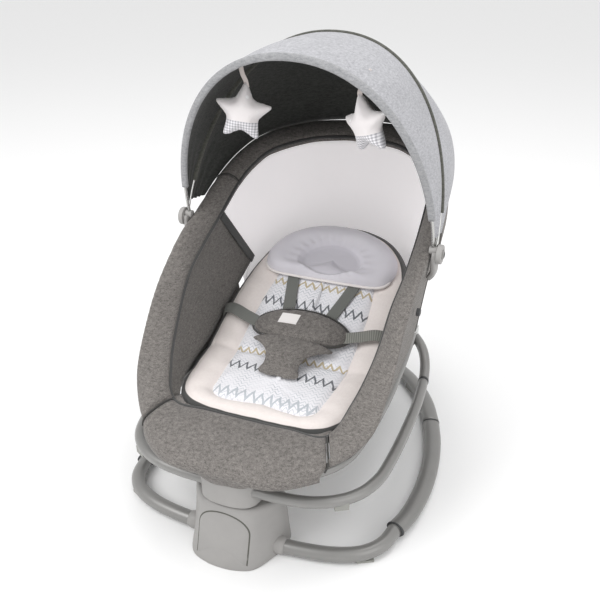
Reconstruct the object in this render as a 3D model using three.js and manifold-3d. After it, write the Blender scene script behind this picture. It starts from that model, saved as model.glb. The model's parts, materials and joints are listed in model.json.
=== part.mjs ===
// Powered baby swing: floor ring, motor pedestal, swinging ring, padded tub, reclining seat, harness, canopy.
// Millimetres, +Z up, the foot end towards -Y, origin on the floor under the middle of the object.
import * as THREE from "three";
import { mergeVertices } from "three/addons/utils/BufferGeometryUtils.js";
import Module from "manifold-3d";

const wasm = await Module();
wasm.setup();

// ---- Driving dimensions ----
const GAP = 0.4; // clearance between pieces that touch
const FLOOR_TUBE_R = 13; // round front tube of the floor ring
const FLOOR_Z = 16; // centre height of the floor ring
const FLOOR_FLAT = { high: 9.5, wide: 17 }; // half sizes of the flattened side and rear sections
const SWING_TUBE_R = 10; // swinging ring
const SWING_Z = 139; // centre height of the swinging ring beside the tub
const SWING_REAR_Z = 176; // and where it passes under the tub
const TUBE_FRONT_Y = -328; // front straight of the swinging ring
const SPINDLE_Y = -312; // vertical swing axis
const HOOP_Z = 195; // centre height of the tub's lower hoop
const HOOP_R = 8;
const HEM_Z = HOOP_Z + HOOP_R + 1.5; // lower edge of the tub wall on the sides
const WALL = 8; // padded wall thickness
const BODY_TOP = 108; // top of the motor housing
const SHELL = 3; // plastic wall thickness
const CAP = { low: 112, high: 186 };
const RECLINE = { y: -69, z: 204, deg: 24.2 }; // fold line of the seat and the backrest's lean
const SEAT_DEG = 4; // lean of the seat part
const PAD = 24; // seat insert thickness
const BOARD = 8; // boards under the insert
const PIVOT = { x: 238, y: 9, z: 461 }; // canopy pivots
const BOW_R = 3;
const FRONT_BOW = { half: 238, rise: 318, deg: -11.8 };
const MIDDLE_BOW = { half: 243, rise: 352, deg: 25.3 };
const TOY = { x: 113, y: 9, top: 745, drop: 33, size: 51 }; // ribbon top, its length, the star

// ---- Finishes ----
const finish = (color, roughness, metalness = 0) => ({ color, roughness, metalness });
const TUBE = finish(0x8c8c88, 0.4, 0.5);
const STEEL = finish(0xb5b5b2, 0.3, 0.9);
const SHELL_PLASTIC = finish(0xa3a39d, 0.5);
const DARK_PLASTIC = finish(0x3c3d3e, 0.6);
const NYLON = finish(0xe4e2da, 0.5);
const RUBBER = finish(0x9a9a95, 0.9);
const MELANGE = finish(0x7d7975, 0.95);
const MESH_CLOTH = finish(0xece8e9, 0.9);
const CREAM = finish(0xe3dad6, 0.95);
const LILAC = finish(0xd5d2d8, 0.95);
const WEBBING = finish(0x6f706c, 0.9);
const CANOPY_CLOTH = finish(0xb4b3b8, 0.95);
const BOARD_FINISH = finish(0x6b6257, 0.8);

// ---- Geometry helpers ----
const V = (x, y, z) => new THREE.Vector3(x, y, z);
const rad = THREE.MathUtils.degToRad;
const mirror = (p) => V(-p.x, p.y, p.z);
const UP = V(0, 0, 1);

// A closed geometry as a manifold-3d solid; faces are turned round where they point inwards.
function solid(geometry) {
  const g = geometry.clone();
  g.deleteAttribute("normal");
  g.deleteAttribute("uv");
  const merged = mergeVertices(g, 1e-3);
  const vertProperties = new Float32Array(merged.attributes.position.array);
  const make = (triVerts) => new wasm.Manifold(new wasm.Mesh({ numProp: 3, vertProperties, triVerts }));
  const index = new Uint32Array(merged.index.array);
  const made = make(index);
  return made.volume() > 0 ? made : make(index.reverse());
}

function geometryOf(manifold) {
  const m = manifold.getMesh();
  const g = new THREE.BufferGeometry();
  g.setAttribute("position", new THREE.BufferAttribute(new Float32Array(m.vertProperties), 3));
  g.setIndex(new THREE.BufferAttribute(new Uint32Array(m.triVerts), 1));
  g.computeVertexNormals();
  return g;
}

const placed = (geometry, x = 0, y = 0, z = 0) => geometry.translate(x, y, z);
const box = (w, d, h, x, y, z) => placed(new THREE.BoxGeometry(w, d, h), x, y, z);
const rod = (r, h, x, y, z, sides = 24) =>
  placed(new THREE.CylinderGeometry(r, r, h, sides).rotateX(Math.PI / 2), x, y, z);
const rodX = (r, w, x, y, z, sides = 20) =>
  placed(new THREE.CylinderGeometry(r, r, w, sides).rotateZ(Math.PI / 2), x, y, z);
const minus = (a, ...cuts) => geometryOf(cuts.reduce((s, c) => s.subtract(solid(c)), solid(a)));
const plus = (a, ...more) => geometryOf(more.reduce((s, c) => s.add(solid(c)), solid(a)));

// A vertical-axis ring: outer radius, inner radius, lower and upper height.
function ring(outer, inner, low, high, x, y, sides = 28) {
  const corners = [[inner, low], [outer, low], [outer, high], [inner, high], [inner, low]];
  const lathe = new THREE.LatheGeometry(corners.map(([r, z]) => new THREE.Vector2(r, z)), sides);
  return placed(lathe.rotateX(Math.PI / 2), x, y, 0);
}

// A tube along points; high and wide are the half sizes of its section.
function tube(points, high, wide = high, steps = 32, sides = 12) {
  const shape = new THREE.Shape().absellipse(0, 0, high, wide, 0, Math.PI * 2);
  const path = new THREE.CatmullRomCurve3(points, false, "centripetal");
  const outline = new THREE.Shape(shape.getSpacedPoints(sides).slice(0, sides));
  return new THREE.ExtrudeGeometry(outline, { steps, extrudePath: path, bevelEnabled: false });
}

// Skin through sections with the same number of points; open at neither end unless it closes on itself.
function loft(sections, closesOnItself = false) {
  const n = sections[0].length;
  const count = sections.length;
  const position = sections.flat().flatMap((p) => [p.x, p.y, p.z]);
  const index = [];
  for (let i = 0; i < (closesOnItself ? count : count - 1); i++)
    for (let j = 0; j < n; j++) {
      const a = i * n + j;
      const b = i * n + ((j + 1) % n);
      const c = ((i + 1) % count) * n + j;
      const d = ((i + 1) % count) * n + ((j + 1) % n);
      index.push(a, b, d, a, d, c);
    }
  const end = (i, turned) => {
    const pts = sections[i];
    const normal = V(0, 0, 0);
    pts.forEach((p, k) => normal.add(p.clone().cross(pts[(k + 1) % n])));
    const turn = new THREE.Quaternion().setFromUnitVectors(normal.normalize(), UP);
    const flat = pts.map((p) => p.clone().applyQuaternion(turn)).map((p) => new THREE.Vector2(p.x, p.y));
    for (const [a, b, c] of THREE.ShapeUtils.triangulateShape(flat, []))
      index.push(...(turned ? [a, c, b] : [a, b, c]).map((k) => i * n + k));
  };
  if (!closesOnItself) {
    end(0, true);
    end(count - 1, false);
  }
  const g = new THREE.BufferGeometry();
  g.setAttribute("position", new THREE.BufferAttribute(new Float32Array(position), 3));
  g.setIndex(index);
  return geometryOf(solid(g));
}

// A curve through right-hand stations, mirrored at both ends so that it crosses the middle plane squarely.
function stations(points) {
  const all = [mirror(points[1]), ...points, mirror(points[points.length - 2])];
  const curve = new THREE.CatmullRomCurve3(all, false, "catmullrom");
  return (t) => {
    const p = curve.getPoint((Math.abs(t) + 1) / (all.length - 1));
    return t < 0 ? mirror(p) : p;
  };
}

const range = (from, to, steps) =>
  Array.from({ length: steps + 1 }, (_, i) => from + ((to - from) * i) / steps);

// A right-hand half, front middle to rear middle or the other way, joined to its mirrored half.
const bothSides = (half) => [...half, ...half.slice(0, -1).reverse().map(mirror)];

// A flat plate with square edges from the points of its outline.
function extruded(points, depth) {
  const shape = new THREE.Shape(points.map((p) => new THREE.Vector2(p.x, p.y)));
  return new THREE.ExtrudeGeometry(shape, { depth, bevelEnabled: false });
}

// ---- The scene graph ----
const swingSeat = new THREE.Group();
const names = new Set();
function add(name, geometry, look, parent = swingSeat) {
  if (names.has(name)) throw new Error(`two pieces are called ${name}`);
  names.add(name);
  const mesh = new THREE.Mesh(geometry, new THREE.MeshStandardMaterial(look));
  mesh.name = name;
  parent.add(mesh);
  return mesh;
}
const SIDES = [["left", -1], ["right", 1]];

// ---- Floor ring ----
const floorFront = [
  V(-256, -206, FLOOR_Z), V(-246, -246, FLOOR_Z), V(-222, -276, FLOOR_Z), V(-180, -297, FLOOR_Z),
  V(-110, -310, FLOOR_Z), V(0, -312, FLOOR_Z),
];
const frontPath = bothSides(floorFront);
const floorSide = [
  V(256.6, -203.5, FLOOR_Z), V(268, -165, FLOOR_Z), V(275, -90, FLOOR_Z), V(271, -15, FLOOR_Z),
  V(258, 58, FLOOR_Z), V(239, 122, FLOOR_Z),
];
const rearPath = bothSides([
  V(238, 124.8, FLOOR_Z), V(211, 187, FLOOR_Z), V(177, 240, FLOOR_Z), V(138, 283, FLOOR_Z),
  V(94, 314, FLOOR_Z), V(48, 334, FLOOR_Z), V(0, 340, FLOOR_Z),
]);

const floorFrontTube = (extra) => tube(frontPath, FLOOR_TUBE_R + extra, FLOOR_TUBE_R + extra, 40);
const floorRearTube = (extra) => tube(rearPath, FLOOR_FLAT.high + extra, FLOOR_FLAT.wide + extra, 32);

function floorRing() {
  add("floor_front_tube", floorFrontTube(0), TUBE);
  for (const [side, s] of SIDES) {
    const path = floorSide.map((p) => (s < 0 ? mirror(p) : p));
    add(`floor_side_tube_${side}`, tube(path, FLOOR_FLAT.high, FLOOR_FLAT.wide, 18), TUBE);
  }
  add("floor_rear_tube", floorRearTube(0), TUBE);
  for (const [side, s] of SIDES) {
    add(`front_foot_${side}`, foot(s * 222, -272, s * 28, FLOOR_TUBE_R, floorFrontTube(GAP)), RUBBER);
    add(`rear_foot_${side}`, foot(s * 165, 254, s * -42, FLOOR_FLAT.high, floorRearTube(GAP)), RUBBER);
  }
}

// A rubber block on the floor, its top hollowed to the tube above it.
function foot(x, y, turn, tubeHalf, groove) {
  const high = FLOOR_Z - tubeHalf - GAP + 2;
  const block = new THREE.BoxGeometry(30, 24, high).rotateZ(rad(turn)).translate(x, y, high / 2);
  return minus(block, groove);
}

// ---- Motor pedestal ----
// Half outlines of the housing, from the front middle to the rear middle.
const BODY_LOW = [[0, -384], [32, -380], [60, -366], [80, -325], [86, -296], [82, -265], [40, -256], [0, -255]];
const BODY_HIGH = [
  [0, -352], [28, -349], [50, -340], [70, -316], [80, -296], [76, -272], [38, -264], [0, -263],
];

function outlineAt(half, z, inset = 0, samples = 16) {
  const at = stations(half.map(([x, y]) => V(x, y, z)));
  const right = range(0, half.length - 1, samples).map((t) => at(t));
  const all = [...right, ...right.slice(1, -1).reverse().map(mirror)];
  const middle = V(0, (half[0][1] + half[half.length - 1][1]) / 2, z);
  return all.map((p) => {
    const inwards = middle.clone().sub(p);
    return p.clone().addScaledVector(inwards.normalize(), inset);
  });
}

// The housing's tapering body between two heights, set in by the inset.
function bodyLoft(low, high, inset) {
  const outline = (z) => {
    const ease = Math.pow(Math.max(z, 0) / BODY_TOP, 0.75);
    const between = (low, high) => low.map((value, k) => value + (high[k] - value) * ease);
    return outlineAt(BODY_LOW.map((point, i) => between(point, BODY_HIGH[i])), z, inset);
  };
  return loft(range(low, high, 4).map(outline));
}

const MOTOR_X = -42;
const BRIDGE_Z = 36; // bridge across the housing that carries the spindle's lower end

function pedestal() {
  const tubeSlot = floorFrontTube(GAP);
  const outer = bodyLoft(0.4, BODY_TOP, 0);
  const hollow = bodyLoft(-1, BODY_TOP - SHELL, SHELL);
  const bearingHole = rod(11.4, 20, 0, SPINDLE_Y, BODY_TOP);
  add("housing_shell", minus(outer, hollow, tubeSlot, bearingHole, archPanel(GAP)), SHELL_PLASTIC);
  add("front_panel", archPanel(0), SHELL_PLASTIC);
  add("housing_base", minus(bodyLoft(0.6, 2.6, SHELL + 1), tubeSlot), DARK_PLASTIC);
  const bridge = box(118, 22, 6, 0, SPINDLE_Y, BRIDGE_Z);
  add("lower_bearing_bridge", minus(bridge, rod(6.06, 12, 0, SPINDLE_Y, BRIDGE_Z)), NYLON);
  const flange = ring(20, 8.06, BODY_TOP + GAP, CAP.low + 4, 0, SPINDLE_Y);
  add("upper_bearing", plus(ring(11, 8.06, 100, BODY_TOP + 1, 0, SPINDLE_Y), flange), NYLON);
  const motorCan = box(28, 34, 26, MOTOR_X, SPINDLE_Y, 84);
  add("gear_motor", plus(motorCan, rod(11, 8, MOTOR_X, SPINDLE_Y, 99.5)), DARK_PLASTIC);
  add("circuit_board", box(62, 1.6, 40, 0, -272, 68), finish(0x2f6b3f, 0.6));
  add("loudspeaker", placed(new THREE.CylinderGeometry(16, 11, 9, 24), 28, -336, 60), DARK_PLASTIC);
  add("power_inlet", minus(box(16, 12, 14, 0, -269, 22), box(9, 8, 7, 0, -262, 22)), DARK_PLASTIC);
}

// The arch-shaped panel let into the front of the housing.
function archPanel(extra) {
  const half = 47 + extra;
  const shape = new THREE.Shape();
  shape.moveTo(-half, 10 - extra);
  shape.lineTo(half, 10 - extra);
  shape.lineTo(half, 62);
  shape.absellipse(0, 62, half, 36 + extra, 0, Math.PI);
  const flat = new THREE.ExtrudeGeometry(shape, { depth: 120, bevelEnabled: false, curveSegments: 10 });
  const prism = solid(flat.rotateX(Math.PI / 2).translate(0, -310, 0));
  const outer = solid(bodyLoft(-2, BODY_TOP + 2, -0.35));
  const inner = solid(bodyLoft(-3, BODY_TOP + 3, SHELL - 0.8 + extra));
  return geometryOf(prism.intersect(outer).subtract(inner));
}

// ---- Swinging ring and its drive ----
const ringHalf = [
  V(-222, 89.6, SWING_Z - 2), V(-228, 40, SWING_Z - 1), V(-232, -12, SWING_Z), V(-234, -90, SWING_Z),
  V(-233, -170, SWING_Z), V(-228, -225, SWING_Z), V(-210, -270, SWING_Z), V(-180, -300, SWING_Z),
  V(-140, -319, SWING_Z), V(-90, -327, SWING_Z), V(-45, TUBE_FRONT_Y, SWING_Z),
];
const ringPath = [...ringHalf, ...ringHalf.slice().reverse().map(mirror)];
const riseHalf = [
  V(-221.85, 90.6, SWING_Z - 2), V(-221.3, 95, SWING_Z - 2.1), V(-219, 110, SWING_Z + 8),
  V(-214, 127, SWING_Z + 22), V(-204, 150, SWING_REAR_Z - 6), V(-186, 178, SWING_REAR_Z - 1),
  V(-160, 208, SWING_REAR_Z), V(-120, 235, SWING_REAR_Z), V(-60, 250, SWING_REAR_Z), V(0, 253, SWING_REAR_Z),
];
const ringTube = (extra) => tube(ringPath, SWING_TUBE_R + extra, SWING_TUBE_R + extra, 52);
const riseTube = (extra) => tube(bothSides(riseHalf), SWING_TUBE_R + extra, SWING_TUBE_R + extra, 44);

// Half outline of the rotor cap, from its front middle to its rear middle.
const CAP_HALF = [[0, -351], [26, -348.5], [45, -339], [53, -320], [50, -296], [34, -281], [0, -276]];

function swingingRing() {
  add("swing_front_tube", ringTube(0), TUBE);
  add("swing_rear_tube", riseTube(0), TUBE);
  const ringSlot = ringTube(GAP);
  for (const [side, s] of SIDES) {
    const block = new THREE.BoxGeometry(24, 20, 14).rotateZ(rad(s * 30)).translate(s * 186, -294, SWING_Z - 8);
    add(`ring_stop_${side}`, minus(block, ringSlot), RUBBER);
  }
  const capAt = (z, inset) => outlineAt(CAP_HALF, z, inset, 14);
  const capOuter = loft([capAt(CAP.low, 0), capAt(CAP.high - 3, 0), capAt(CAP.high, 3)]);
  const capHollow = loft([capAt(CAP.low - 2, SHELL), capAt(CAP.high - SHELL, SHELL)]);
  add("rotor_cap", minus(capOuter, capHollow, ringSlot), SHELL_PLASTIC);
  const flange = rod(22, 4, 0, SPINDLE_Y, 118.6);
  const pin = rod(6, 9, 0, SPINDLE_Y, BRIDGE_Z - 0.5);
  add("spindle", plus(rod(8, 79.5, 0, SPINDLE_Y, 79.75), pin, flange), STEEL);
  add("tube_clamp", minus(box(70, 40, 24, 0, TUBE_FRONT_Y + 6, SWING_Z - 5.8), ringSlot), DARK_PLASTIC);
  add("sector_gear", sectorGear(), NYLON);
  add("drive_pinion", pinion(), NYLON);
}

// ---- Drive gears: a toothed sector on the spindle meshes with the motor's pinion ----
const GEAR = { module: 2, sector: 36, pinion: 8, low: 56, high: 63 };
const PINION_X = -(GEAR.module * (GEAR.sector + GEAR.pinion)) / 2 - 0.3;

// One tooth's corners: turn in pitches from its middle, height in modules from the pitch circle.
const TOOTH = [[-0.36, -1.15], [-0.14, 0.85], [0.14, 0.85], [0.36, -1.15]];

function gearOutline(teeth, from, to, hub) {
  const polar = (r, angle) => new THREE.Vector2(r * Math.cos(angle), r * Math.sin(angle));
  const pitch = 360 / teeth;
  const points = [];
  for (let k = from; k <= to; k++)
    for (const [turn, height] of TOOTH)
      points.push(polar(GEAR.module * (teeth / 2 + height), rad((k + turn) * pitch)));
  if (hub)
    for (const angle of range(rad((to + 2) * pitch), rad(360 + (from - 2) * pitch), 12))
      points.push(polar(hub, angle));
  return extruded(points, GEAR.high - GEAR.low);
}

function sectorGear() {
  const flat = gearOutline(GEAR.sector, -5, 5, 15).rotateZ(Math.PI).translate(0, SPINDLE_Y, GEAR.low);
  return minus(flat, rod(8 + GAP, 20, 0, SPINDLE_Y, GEAR.low + 4));
}

function pinion() {
  const wheel = gearOutline(GEAR.pinion, 0, GEAR.pinion - 1).rotateZ(rad(180 / GEAR.pinion));
  return plus(wheel.translate(PINION_X, SPINDLE_Y, GEAR.low), rod(2.5, 8, PINION_X, SPINDLE_Y, GEAR.high + 3));
}

// ---- Tub: lower hoop, rim tube, padded panels ----
// Right-hand stations from the foot middle to the head middle: the rim's inner seam and its outer crest.
const INNER = stations([
  V(0, -252, 216), V(75, -252, 217), V(144, -248, 219), V(172, -205, 262), V(189, -143, 318), V(195, -82, 380),
  V(198, -20, 412), V(197, 57, 450), V(193, 130, 490), V(185, 190, 514), V(160, 240, 533), V(100, 292, 547),
  V(45, 325, 547), V(0, 335, 546),
]);
const CREST = stations([
  V(0, -366, 209), V(90, -358, 210), V(168, -308, 212), V(216, -250, 240), V(231, -200, 298), V(233, -135, 370),
  V(234, -60, 424), V(234, 20, 458), V(231, 110, 500), V(222, 195, 530), V(196, 270, 550), V(126, 342, 562),
  V(56, 375, 565), V(0, 380, 564),
]);
const HOOP = stations([
  V(0, -356, HOOP_Z), V(92, -352, HOOP_Z), V(156, -305, HOOP_Z), V(184, -258, HOOP_Z), V(192, -200, HOOP_Z),
  V(195, -130, HOOP_Z), V(194, -60, HOOP_Z), V(190, 10, HOOP_Z), V(183, 90, HOOP_Z), V(173, 175, HOOP_Z),
  V(152, 258, HOOP_Z), V(104, 328, HOOP_Z), V(46, 358, HOOP_Z), V(0, 363, HOOP_Z),
]);
const LAST = 13; // station at the head middle
const FOOT_END = 2; // station of the foot panel's seams
const HEAD_START = 8; // station where the mesh window starts

const raised = (p, z) => V(p.x, p.y, z);
const across = (p, q) => q.clone().sub(p).setZ(0).normalize();
const mix = (a, b, k) => a.clone().lerp(b, k);
const moved = (p, direction, along, up) => p.clone().addScaledVector(direction, along).add(V(0, 0, up));

// Padded roll over the rim tube with the wall hanging from its outer edge, as one closed section.
function sideSection(t) {
  const s = INNER(t);
  const c = CREST(t);
  const out = across(s, c);
  const hem = raised(moved(HOOP(t), out, WALL / 2, 0), HEM_Z);
  const under = (p, drop) => raised(p, Math.max(p.z - drop, HEM_Z + 2));
  const belly = moved(mix(c, hem, 0.5), out, 3, 0);
  const inside = under(moved(c, out, -10, 0), 15);
  const inner = moved(hem, out, -WALL, 0);
  return [s, moved(s, out, 3, 9), mix(s, c, 0.5).add(V(0, 0, 15)), moved(c, out, -4, 7), c, belly, hem, inner,
    mix(inside, inner, 0.5), inside, under(s, 8)];
}

// The shallow shelf at the foot, whose front hem hangs over the hoop.
function footSection(t) {
  const s = INNER(t);
  const c = CREST(t);
  const out = across(s, c);
  const low = HEM_Z + 0.5;
  const hem = raised(moved(HOOP(t), out, HOOP_R + 8, 0), HOOP_Z - 7);
  const lip = raised(moved(HOOP(t), out, HOOP_R + 2, 0), low);
  return [s, moved(s, out, 6, 5), mix(s, c, 0.55).add(V(0, 0, 8)), c, moved(hem, out, 1, 10), hem,
    moved(hem, out, -6, 0), lip, raised(mix(s, c, 0.5), low), raised(s, low)];
}

// The head end's roll with a short skirt.
function headSection(t) {
  const s = INNER(t);
  const c = CREST(t);
  const out = across(s, c);
  const hem = moved(c, out, -5, -82);
  return [s, moved(s, out, 3, 9), mix(s, c, 0.5).add(V(0, 0, 15)), moved(c, out, -4, 7), c,
    moved(c, out, -1, -40), hem, moved(hem, out, -6, 0), moved(c, out, -10, -15), moved(s, out, 0, -8)];
}

// The mesh hangs inside the skirt and reaches down to the hoop.
function meshSection(t) {
  const c = CREST(t);
  const out = across(INNER(t), c);
  const top = moved(c, out, -11.8, -30);
  const low = raised(moved(HOOP(t), out, 1.5, 0), HEM_Z);
  const back = (p) => moved(p, out, -3, 0);
  return [top, mix(top, low, 0.5), low, back(low), back(mix(top, low, 0.5)), back(top)];
}

const HEAD_ROUND = range(HEAD_START, LAST, 12);
const roundHead = (section) => loft([...HEAD_ROUND.map(section),
  ...HEAD_ROUND.slice(0, -1).reverse().map((t) => section(-t))]);

const hoopHalf = range(0, LAST, 26).map(HOOP);
const hoopRing = [...hoopHalf, ...hoopHalf.slice(1, -1).reverse().map(mirror)];

function hoopTube(radius) {
  const count = hoopRing.length;
  return loft(hoopRing.map((p, i) => {
    const ahead = hoopRing[(i + 1) % count].clone().sub(hoopRing[(i + count - 1) % count]);
    const side = ahead.normalize().cross(UP);
    return range(0, 9, 9).map((k) => {
      const angle = (k * Math.PI) / 5;
      return moved(p, side, radius * Math.cos(angle), radius * Math.sin(angle));
    });
  }), true);
}

function tub() {
  add("tub_hoop", hoopTube(HOOP_R), TUBE);
  const rimHalf = range(2.75, LAST, 18).map((t) => mix(INNER(t), CREST(t), 0.42).add(V(0, 0, -25)));
  add("rim_tube", tube(bothSides(rimHalf), 6, 6, 60, 8), STEEL);
  add("foot_panel", loft(range(-FOOT_END + 0.05, FOOT_END - 0.05, 14).map(footSection)), MELANGE);
  for (const [side, s] of SIDES) {
    const sections = range(FOOT_END + 0.08, HEAD_START - 0.03, 18).map((t) => sideSection(s * t));
    add(`side_panel_${side}`, loft(sections), MELANGE);
  }
  add("head_roll", roundHead(headSection), MELANGE);
  add("mesh_window", roundHead(meshSection), MESH_CLOTH);
  const inset = range(5, LAST, 12).map(HOOP).map((p) => V(p.x * 0.94, p.y > 200 ? p.y - 13 : p.y, 0));
  add("tub_floor", placed(extruded(bothSides(inset), 3), 0, 0, 189), DARK_PLASTIC);
  for (const [side, s] of SIDES) {
    const block = box(14, 34, 30, s * 173.5, 178, 188);
    add(`side_bracket_${side}`, minus(block, hoopTube(HOOP_R + GAP), riseTube(GAP)), STEEL);
  }
}

// ---- Seat: boards, insert, pillow; the back part turns on the recline pin ----
// Half outlines of the insert, measured along the pad from the fold line.
const SEAT_HALF = [[0, -177], [80, -174], [126, -163], [150, -143], [164, -110], [170, -60], [173, -7]];
const BACK_HALF = [[174, 7], [176, 80], [172, 165], [160, 240], [138, 300], [100, 340], [50, 358], [0, 362]];

// A slab from right-hand points, front to rear; it runs straight across where they stop short of the middle.
function slab(half, thick, scale = 1, shift = 0) {
  const line = half.map(([x, y]) => V(x * scale, y * scale + shift, 0));
  const right = new THREE.CatmullRomCurve3(line, false, "centripetal").getSpacedPoints(16);
  const left = right.filter((p) => p.x > 0.01).reverse().map(mirror);
  return extruded([...right, ...left], thick);
}

const seatGroup = new THREE.Group();
seatGroup.position.set(0, RECLINE.y, RECLINE.z);
seatGroup.rotation.x = rad(SEAT_DEG);
const backGroup = new THREE.Group();
backGroup.position.set(0, RECLINE.y, RECLINE.z);
backGroup.rotation.x = rad(RECLINE.deg);
swingSeat.add(seatGroup, backGroup);

function seat() {
  add("insert_seat", placed(slab(SEAT_HALF, PAD), 0, 0, 2), CREAM, seatGroup);
  add("insert_back", placed(slab(BACK_HALF, PAD), 0, 0, 2), CREAM, backGroup);
  add("seat_board", placed(slab(SEAT_HALF, BOARD, 0.9, -4), 0, 0, 1 - BOARD), BOARD_FINISH, seatGroup);
  add("backrest_board", placed(slab(BACK_HALF, BOARD, 0.9, 4), 0, 0, 1 - BOARD), BOARD_FINISH, backGroup);
  add("recline_pin", rodX(2.6, 300, 0, RECLINE.y, RECLINE.z - 3, 12), STEEL);
  const pillowShape = new THREE.Shape();
  pillowShape.moveTo(-108, 208);
  pillowShape.lineTo(108, 208);
  pillowShape.bezierCurveTo(128, 212, 140, 232, 136, 262);
  pillowShape.bezierCurveTo(126, 318, 72, 350, 0, 352);
  pillowShape.bezierCurveTo(-72, 350, -126, 318, -136, 262);
  pillowShape.bezierCurveTo(-140, 232, -128, 212, -108, 208);
  const pillow = new THREE.ExtrudeGeometry(pillowShape, { depth: 26, bevelEnabled: false, curveSegments: 8 });
  add("head_pillow", placed(pillow, 0, 0, PAD + 3), LILAC, backGroup);
}

// ---- Harness ----
function harness() {
  const onBack = PAD + 3;
  for (const [side, s] of SIDES) {
    const strap = new THREE.BoxGeometry(26, 112, 2).rotateZ(rad(s * 5)).translate(s * 60, 146, onBack + 1);
    add(`shoulder_strap_${side}`, strap, WEBBING, backGroup);
    const waist = new THREE.BoxGeometry(54, 26, 2).rotateZ(rad(s * -14)).rotateY(rad(s * -4));
    add(`waist_strap_${side}`, placed(waist, s * 130, 62, onBack + 4), WEBBING, backGroup);
  }
  const oval = new THREE.Shape().absellipse(0, 0, 98, 45, 0, Math.PI * 2);
  const pad = new THREE.ExtrudeGeometry(oval, { depth: 12, bevelEnabled: false, curveSegments: 20 });
  const harnessGroup = new THREE.Group();
  harnessGroup.position.set(0, -18, 271);
  harnessGroup.rotation.x = rad(15);
  swingSeat.add(harnessGroup);
  add("belly_pad", pad, MELANGE, harnessGroup);
  const crotch = [V(-40, -122, 0), V(40, -122, 0), V(34, -86, 0), V(46, -47, 0), V(-46, -47, 0), V(-34, -86, 0)];
  add("crotch_piece", extruded(crotch, 8), MELANGE, harnessGroup);
  const shellBox = box(46, 34, 8, 0, -18, -5);
  const pocket = box(22.8, 12.8, 12, 0, -30, -5);
  add("buckle", minus(shellBox, pocket), DARK_PLASTIC, harnessGroup);
  add("buckle_button", box(22, 9, 6, 0, -31, -5), finish(0xb03a35, 0.5), harnessGroup);
}

// ---- Canopy ----
const SIDE_SHAPE = 2.15; // how square the bows are: 2 is an ellipse

// A point of a bow: half width, rise and lean of its plane, at an angle from the right pivot.
function bowPoint(bow, angle) {
  const c = Math.cos(angle);
  const sn = Math.sin(angle);
  const x = Math.sign(c) * Math.pow(Math.abs(c), 2 / SIDE_SHAPE) * bow.half;
  const h = Math.pow(Math.max(sn, 0), 2 / SIDE_SHAPE) * bow.rise;
  return V(x, PIVOT.y + h * Math.sin(rad(bow.deg)), PIVOT.z + h * Math.cos(rad(bow.deg)));
}

const ARC = range(0.2, Math.PI - 0.2, 26);

// Where the rear panel ends: over the crest of the head roll.
function rearPoint(angle) {
  const turn = Math.abs(angle - Math.PI / 2) / (Math.PI / 2);
  const t = LAST - (LAST - 7.3) * turn;
  const c = CREST(angle > Math.PI / 2 ? -t : t);
  const out = across(INNER(angle > Math.PI / 2 ? -t : t), c);
  return moved(c, out, 2, 8.5 - 9 * turn);
}

// Thin shell between two edges, bulging a little between them.
function panel(edgeA, edgeB, bulge, thick) {
  const rows = 6;
  return loft(ARC.map((angle) => {
    const line = (offset) => range(0, 1, rows).map((k) => {
      const p = mix(edgeA(angle), edgeB(angle), k);
      const away = p.clone().sub(V(0, PIVOT.y, PIVOT.z - 40)).normalize();
      return p.addScaledVector(away, offset + bulge * Math.sin(Math.PI * k) * Math.sin(angle));
    });
    return [...line(0), ...line(thick).reverse()];
  }));
}

// An edge beside a bow, far enough round the pivots to clear the wire all the way along it.
function beside(bow, sign) {
  return (angle) => {
    const away = THREE.MathUtils.radToDeg((BOW_R + 1) / (bow.rise * Math.sin(angle)));
    return bowPoint({ ...bow, deg: bow.deg + sign * away }, angle);
  };
}

function canopy() {
  const wholeArc = range(0.03, Math.PI - 0.03, 22);
  const bowTube = (bow) => tube(wholeArc.map((angle) => bowPoint(bow, angle)), BOW_R, BOW_R, 44, 8);
  add("front_bow", bowTube(FRONT_BOW), STEEL);
  add("middle_bow", bowTube(MIDDLE_BOW), STEEL);
  add("canopy_front_panel", panel(beside(FRONT_BOW, 1), beside(MIDDLE_BOW, -1), 6, 2.5), CANOPY_CLOTH);
  add("canopy_rear_panel", panel(beside(MIDDLE_BOW, 1), rearPoint, 26, 2.5), CANOPY_CLOTH);
  for (const [side, s] of SIDES) {
    const disc = rodX(17, 9, s * (PIVOT.x + 13), PIVOT.y, PIVOT.z - 6, 24);
    const boss = rodX(6, 6, s * (PIVOT.x + 18), PIVOT.y, PIVOT.z - 6, 16);
    add(`canopy_hub_${side}`, plus(disc, boss), SHELL_PLASTIC);
    add(`canopy_clamp_${side}`, box(11, 26, 44, s * (PIVOT.x + 2.6), PIVOT.y, PIVOT.z - 34), SHELL_PLASTIC);
    add(`star_toy_${side}`, toy(s), CREAM);
  }
}

// ---- Hanging star toys ----
const POINT_DEPTH = 0.56; // how far out the notches between the star's points are

function starShape(r) {
  return new THREE.Shape(range(0, 9, 9).map((k) => {
    const angle = Math.PI / 2 + (k * Math.PI) / 5;
    const d = k % 2 ? r * POINT_DEPTH : r;
    return new THREE.Vector2(d * Math.cos(angle), d * Math.sin(angle));
  }));
}

// A padded star on a ribbon that is sewn to the canopy's lining.
function toy(s) {
  const bevel = { bevelThickness: 8, bevelSize: 2, bevelSegments: 2 };
  const star = new THREE.ExtrudeGeometry(starShape(TOY.size), { depth: 14, ...bevel });
  star.translate(0, 0, -7).rotateX(Math.PI / 2).translate(0, 0, -TOY.drop - TOY.size + 4);
  return placed(plus(star, box(8, 2, TOY.drop + 8, 0, 0, -TOY.drop / 2 - 4)), s * TOY.x, TOY.y, TOY.top);
}

floorRing();
pedestal();
swingingRing();
tub();
seat();
harness();
canopy();

export default swingSeat;
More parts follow.
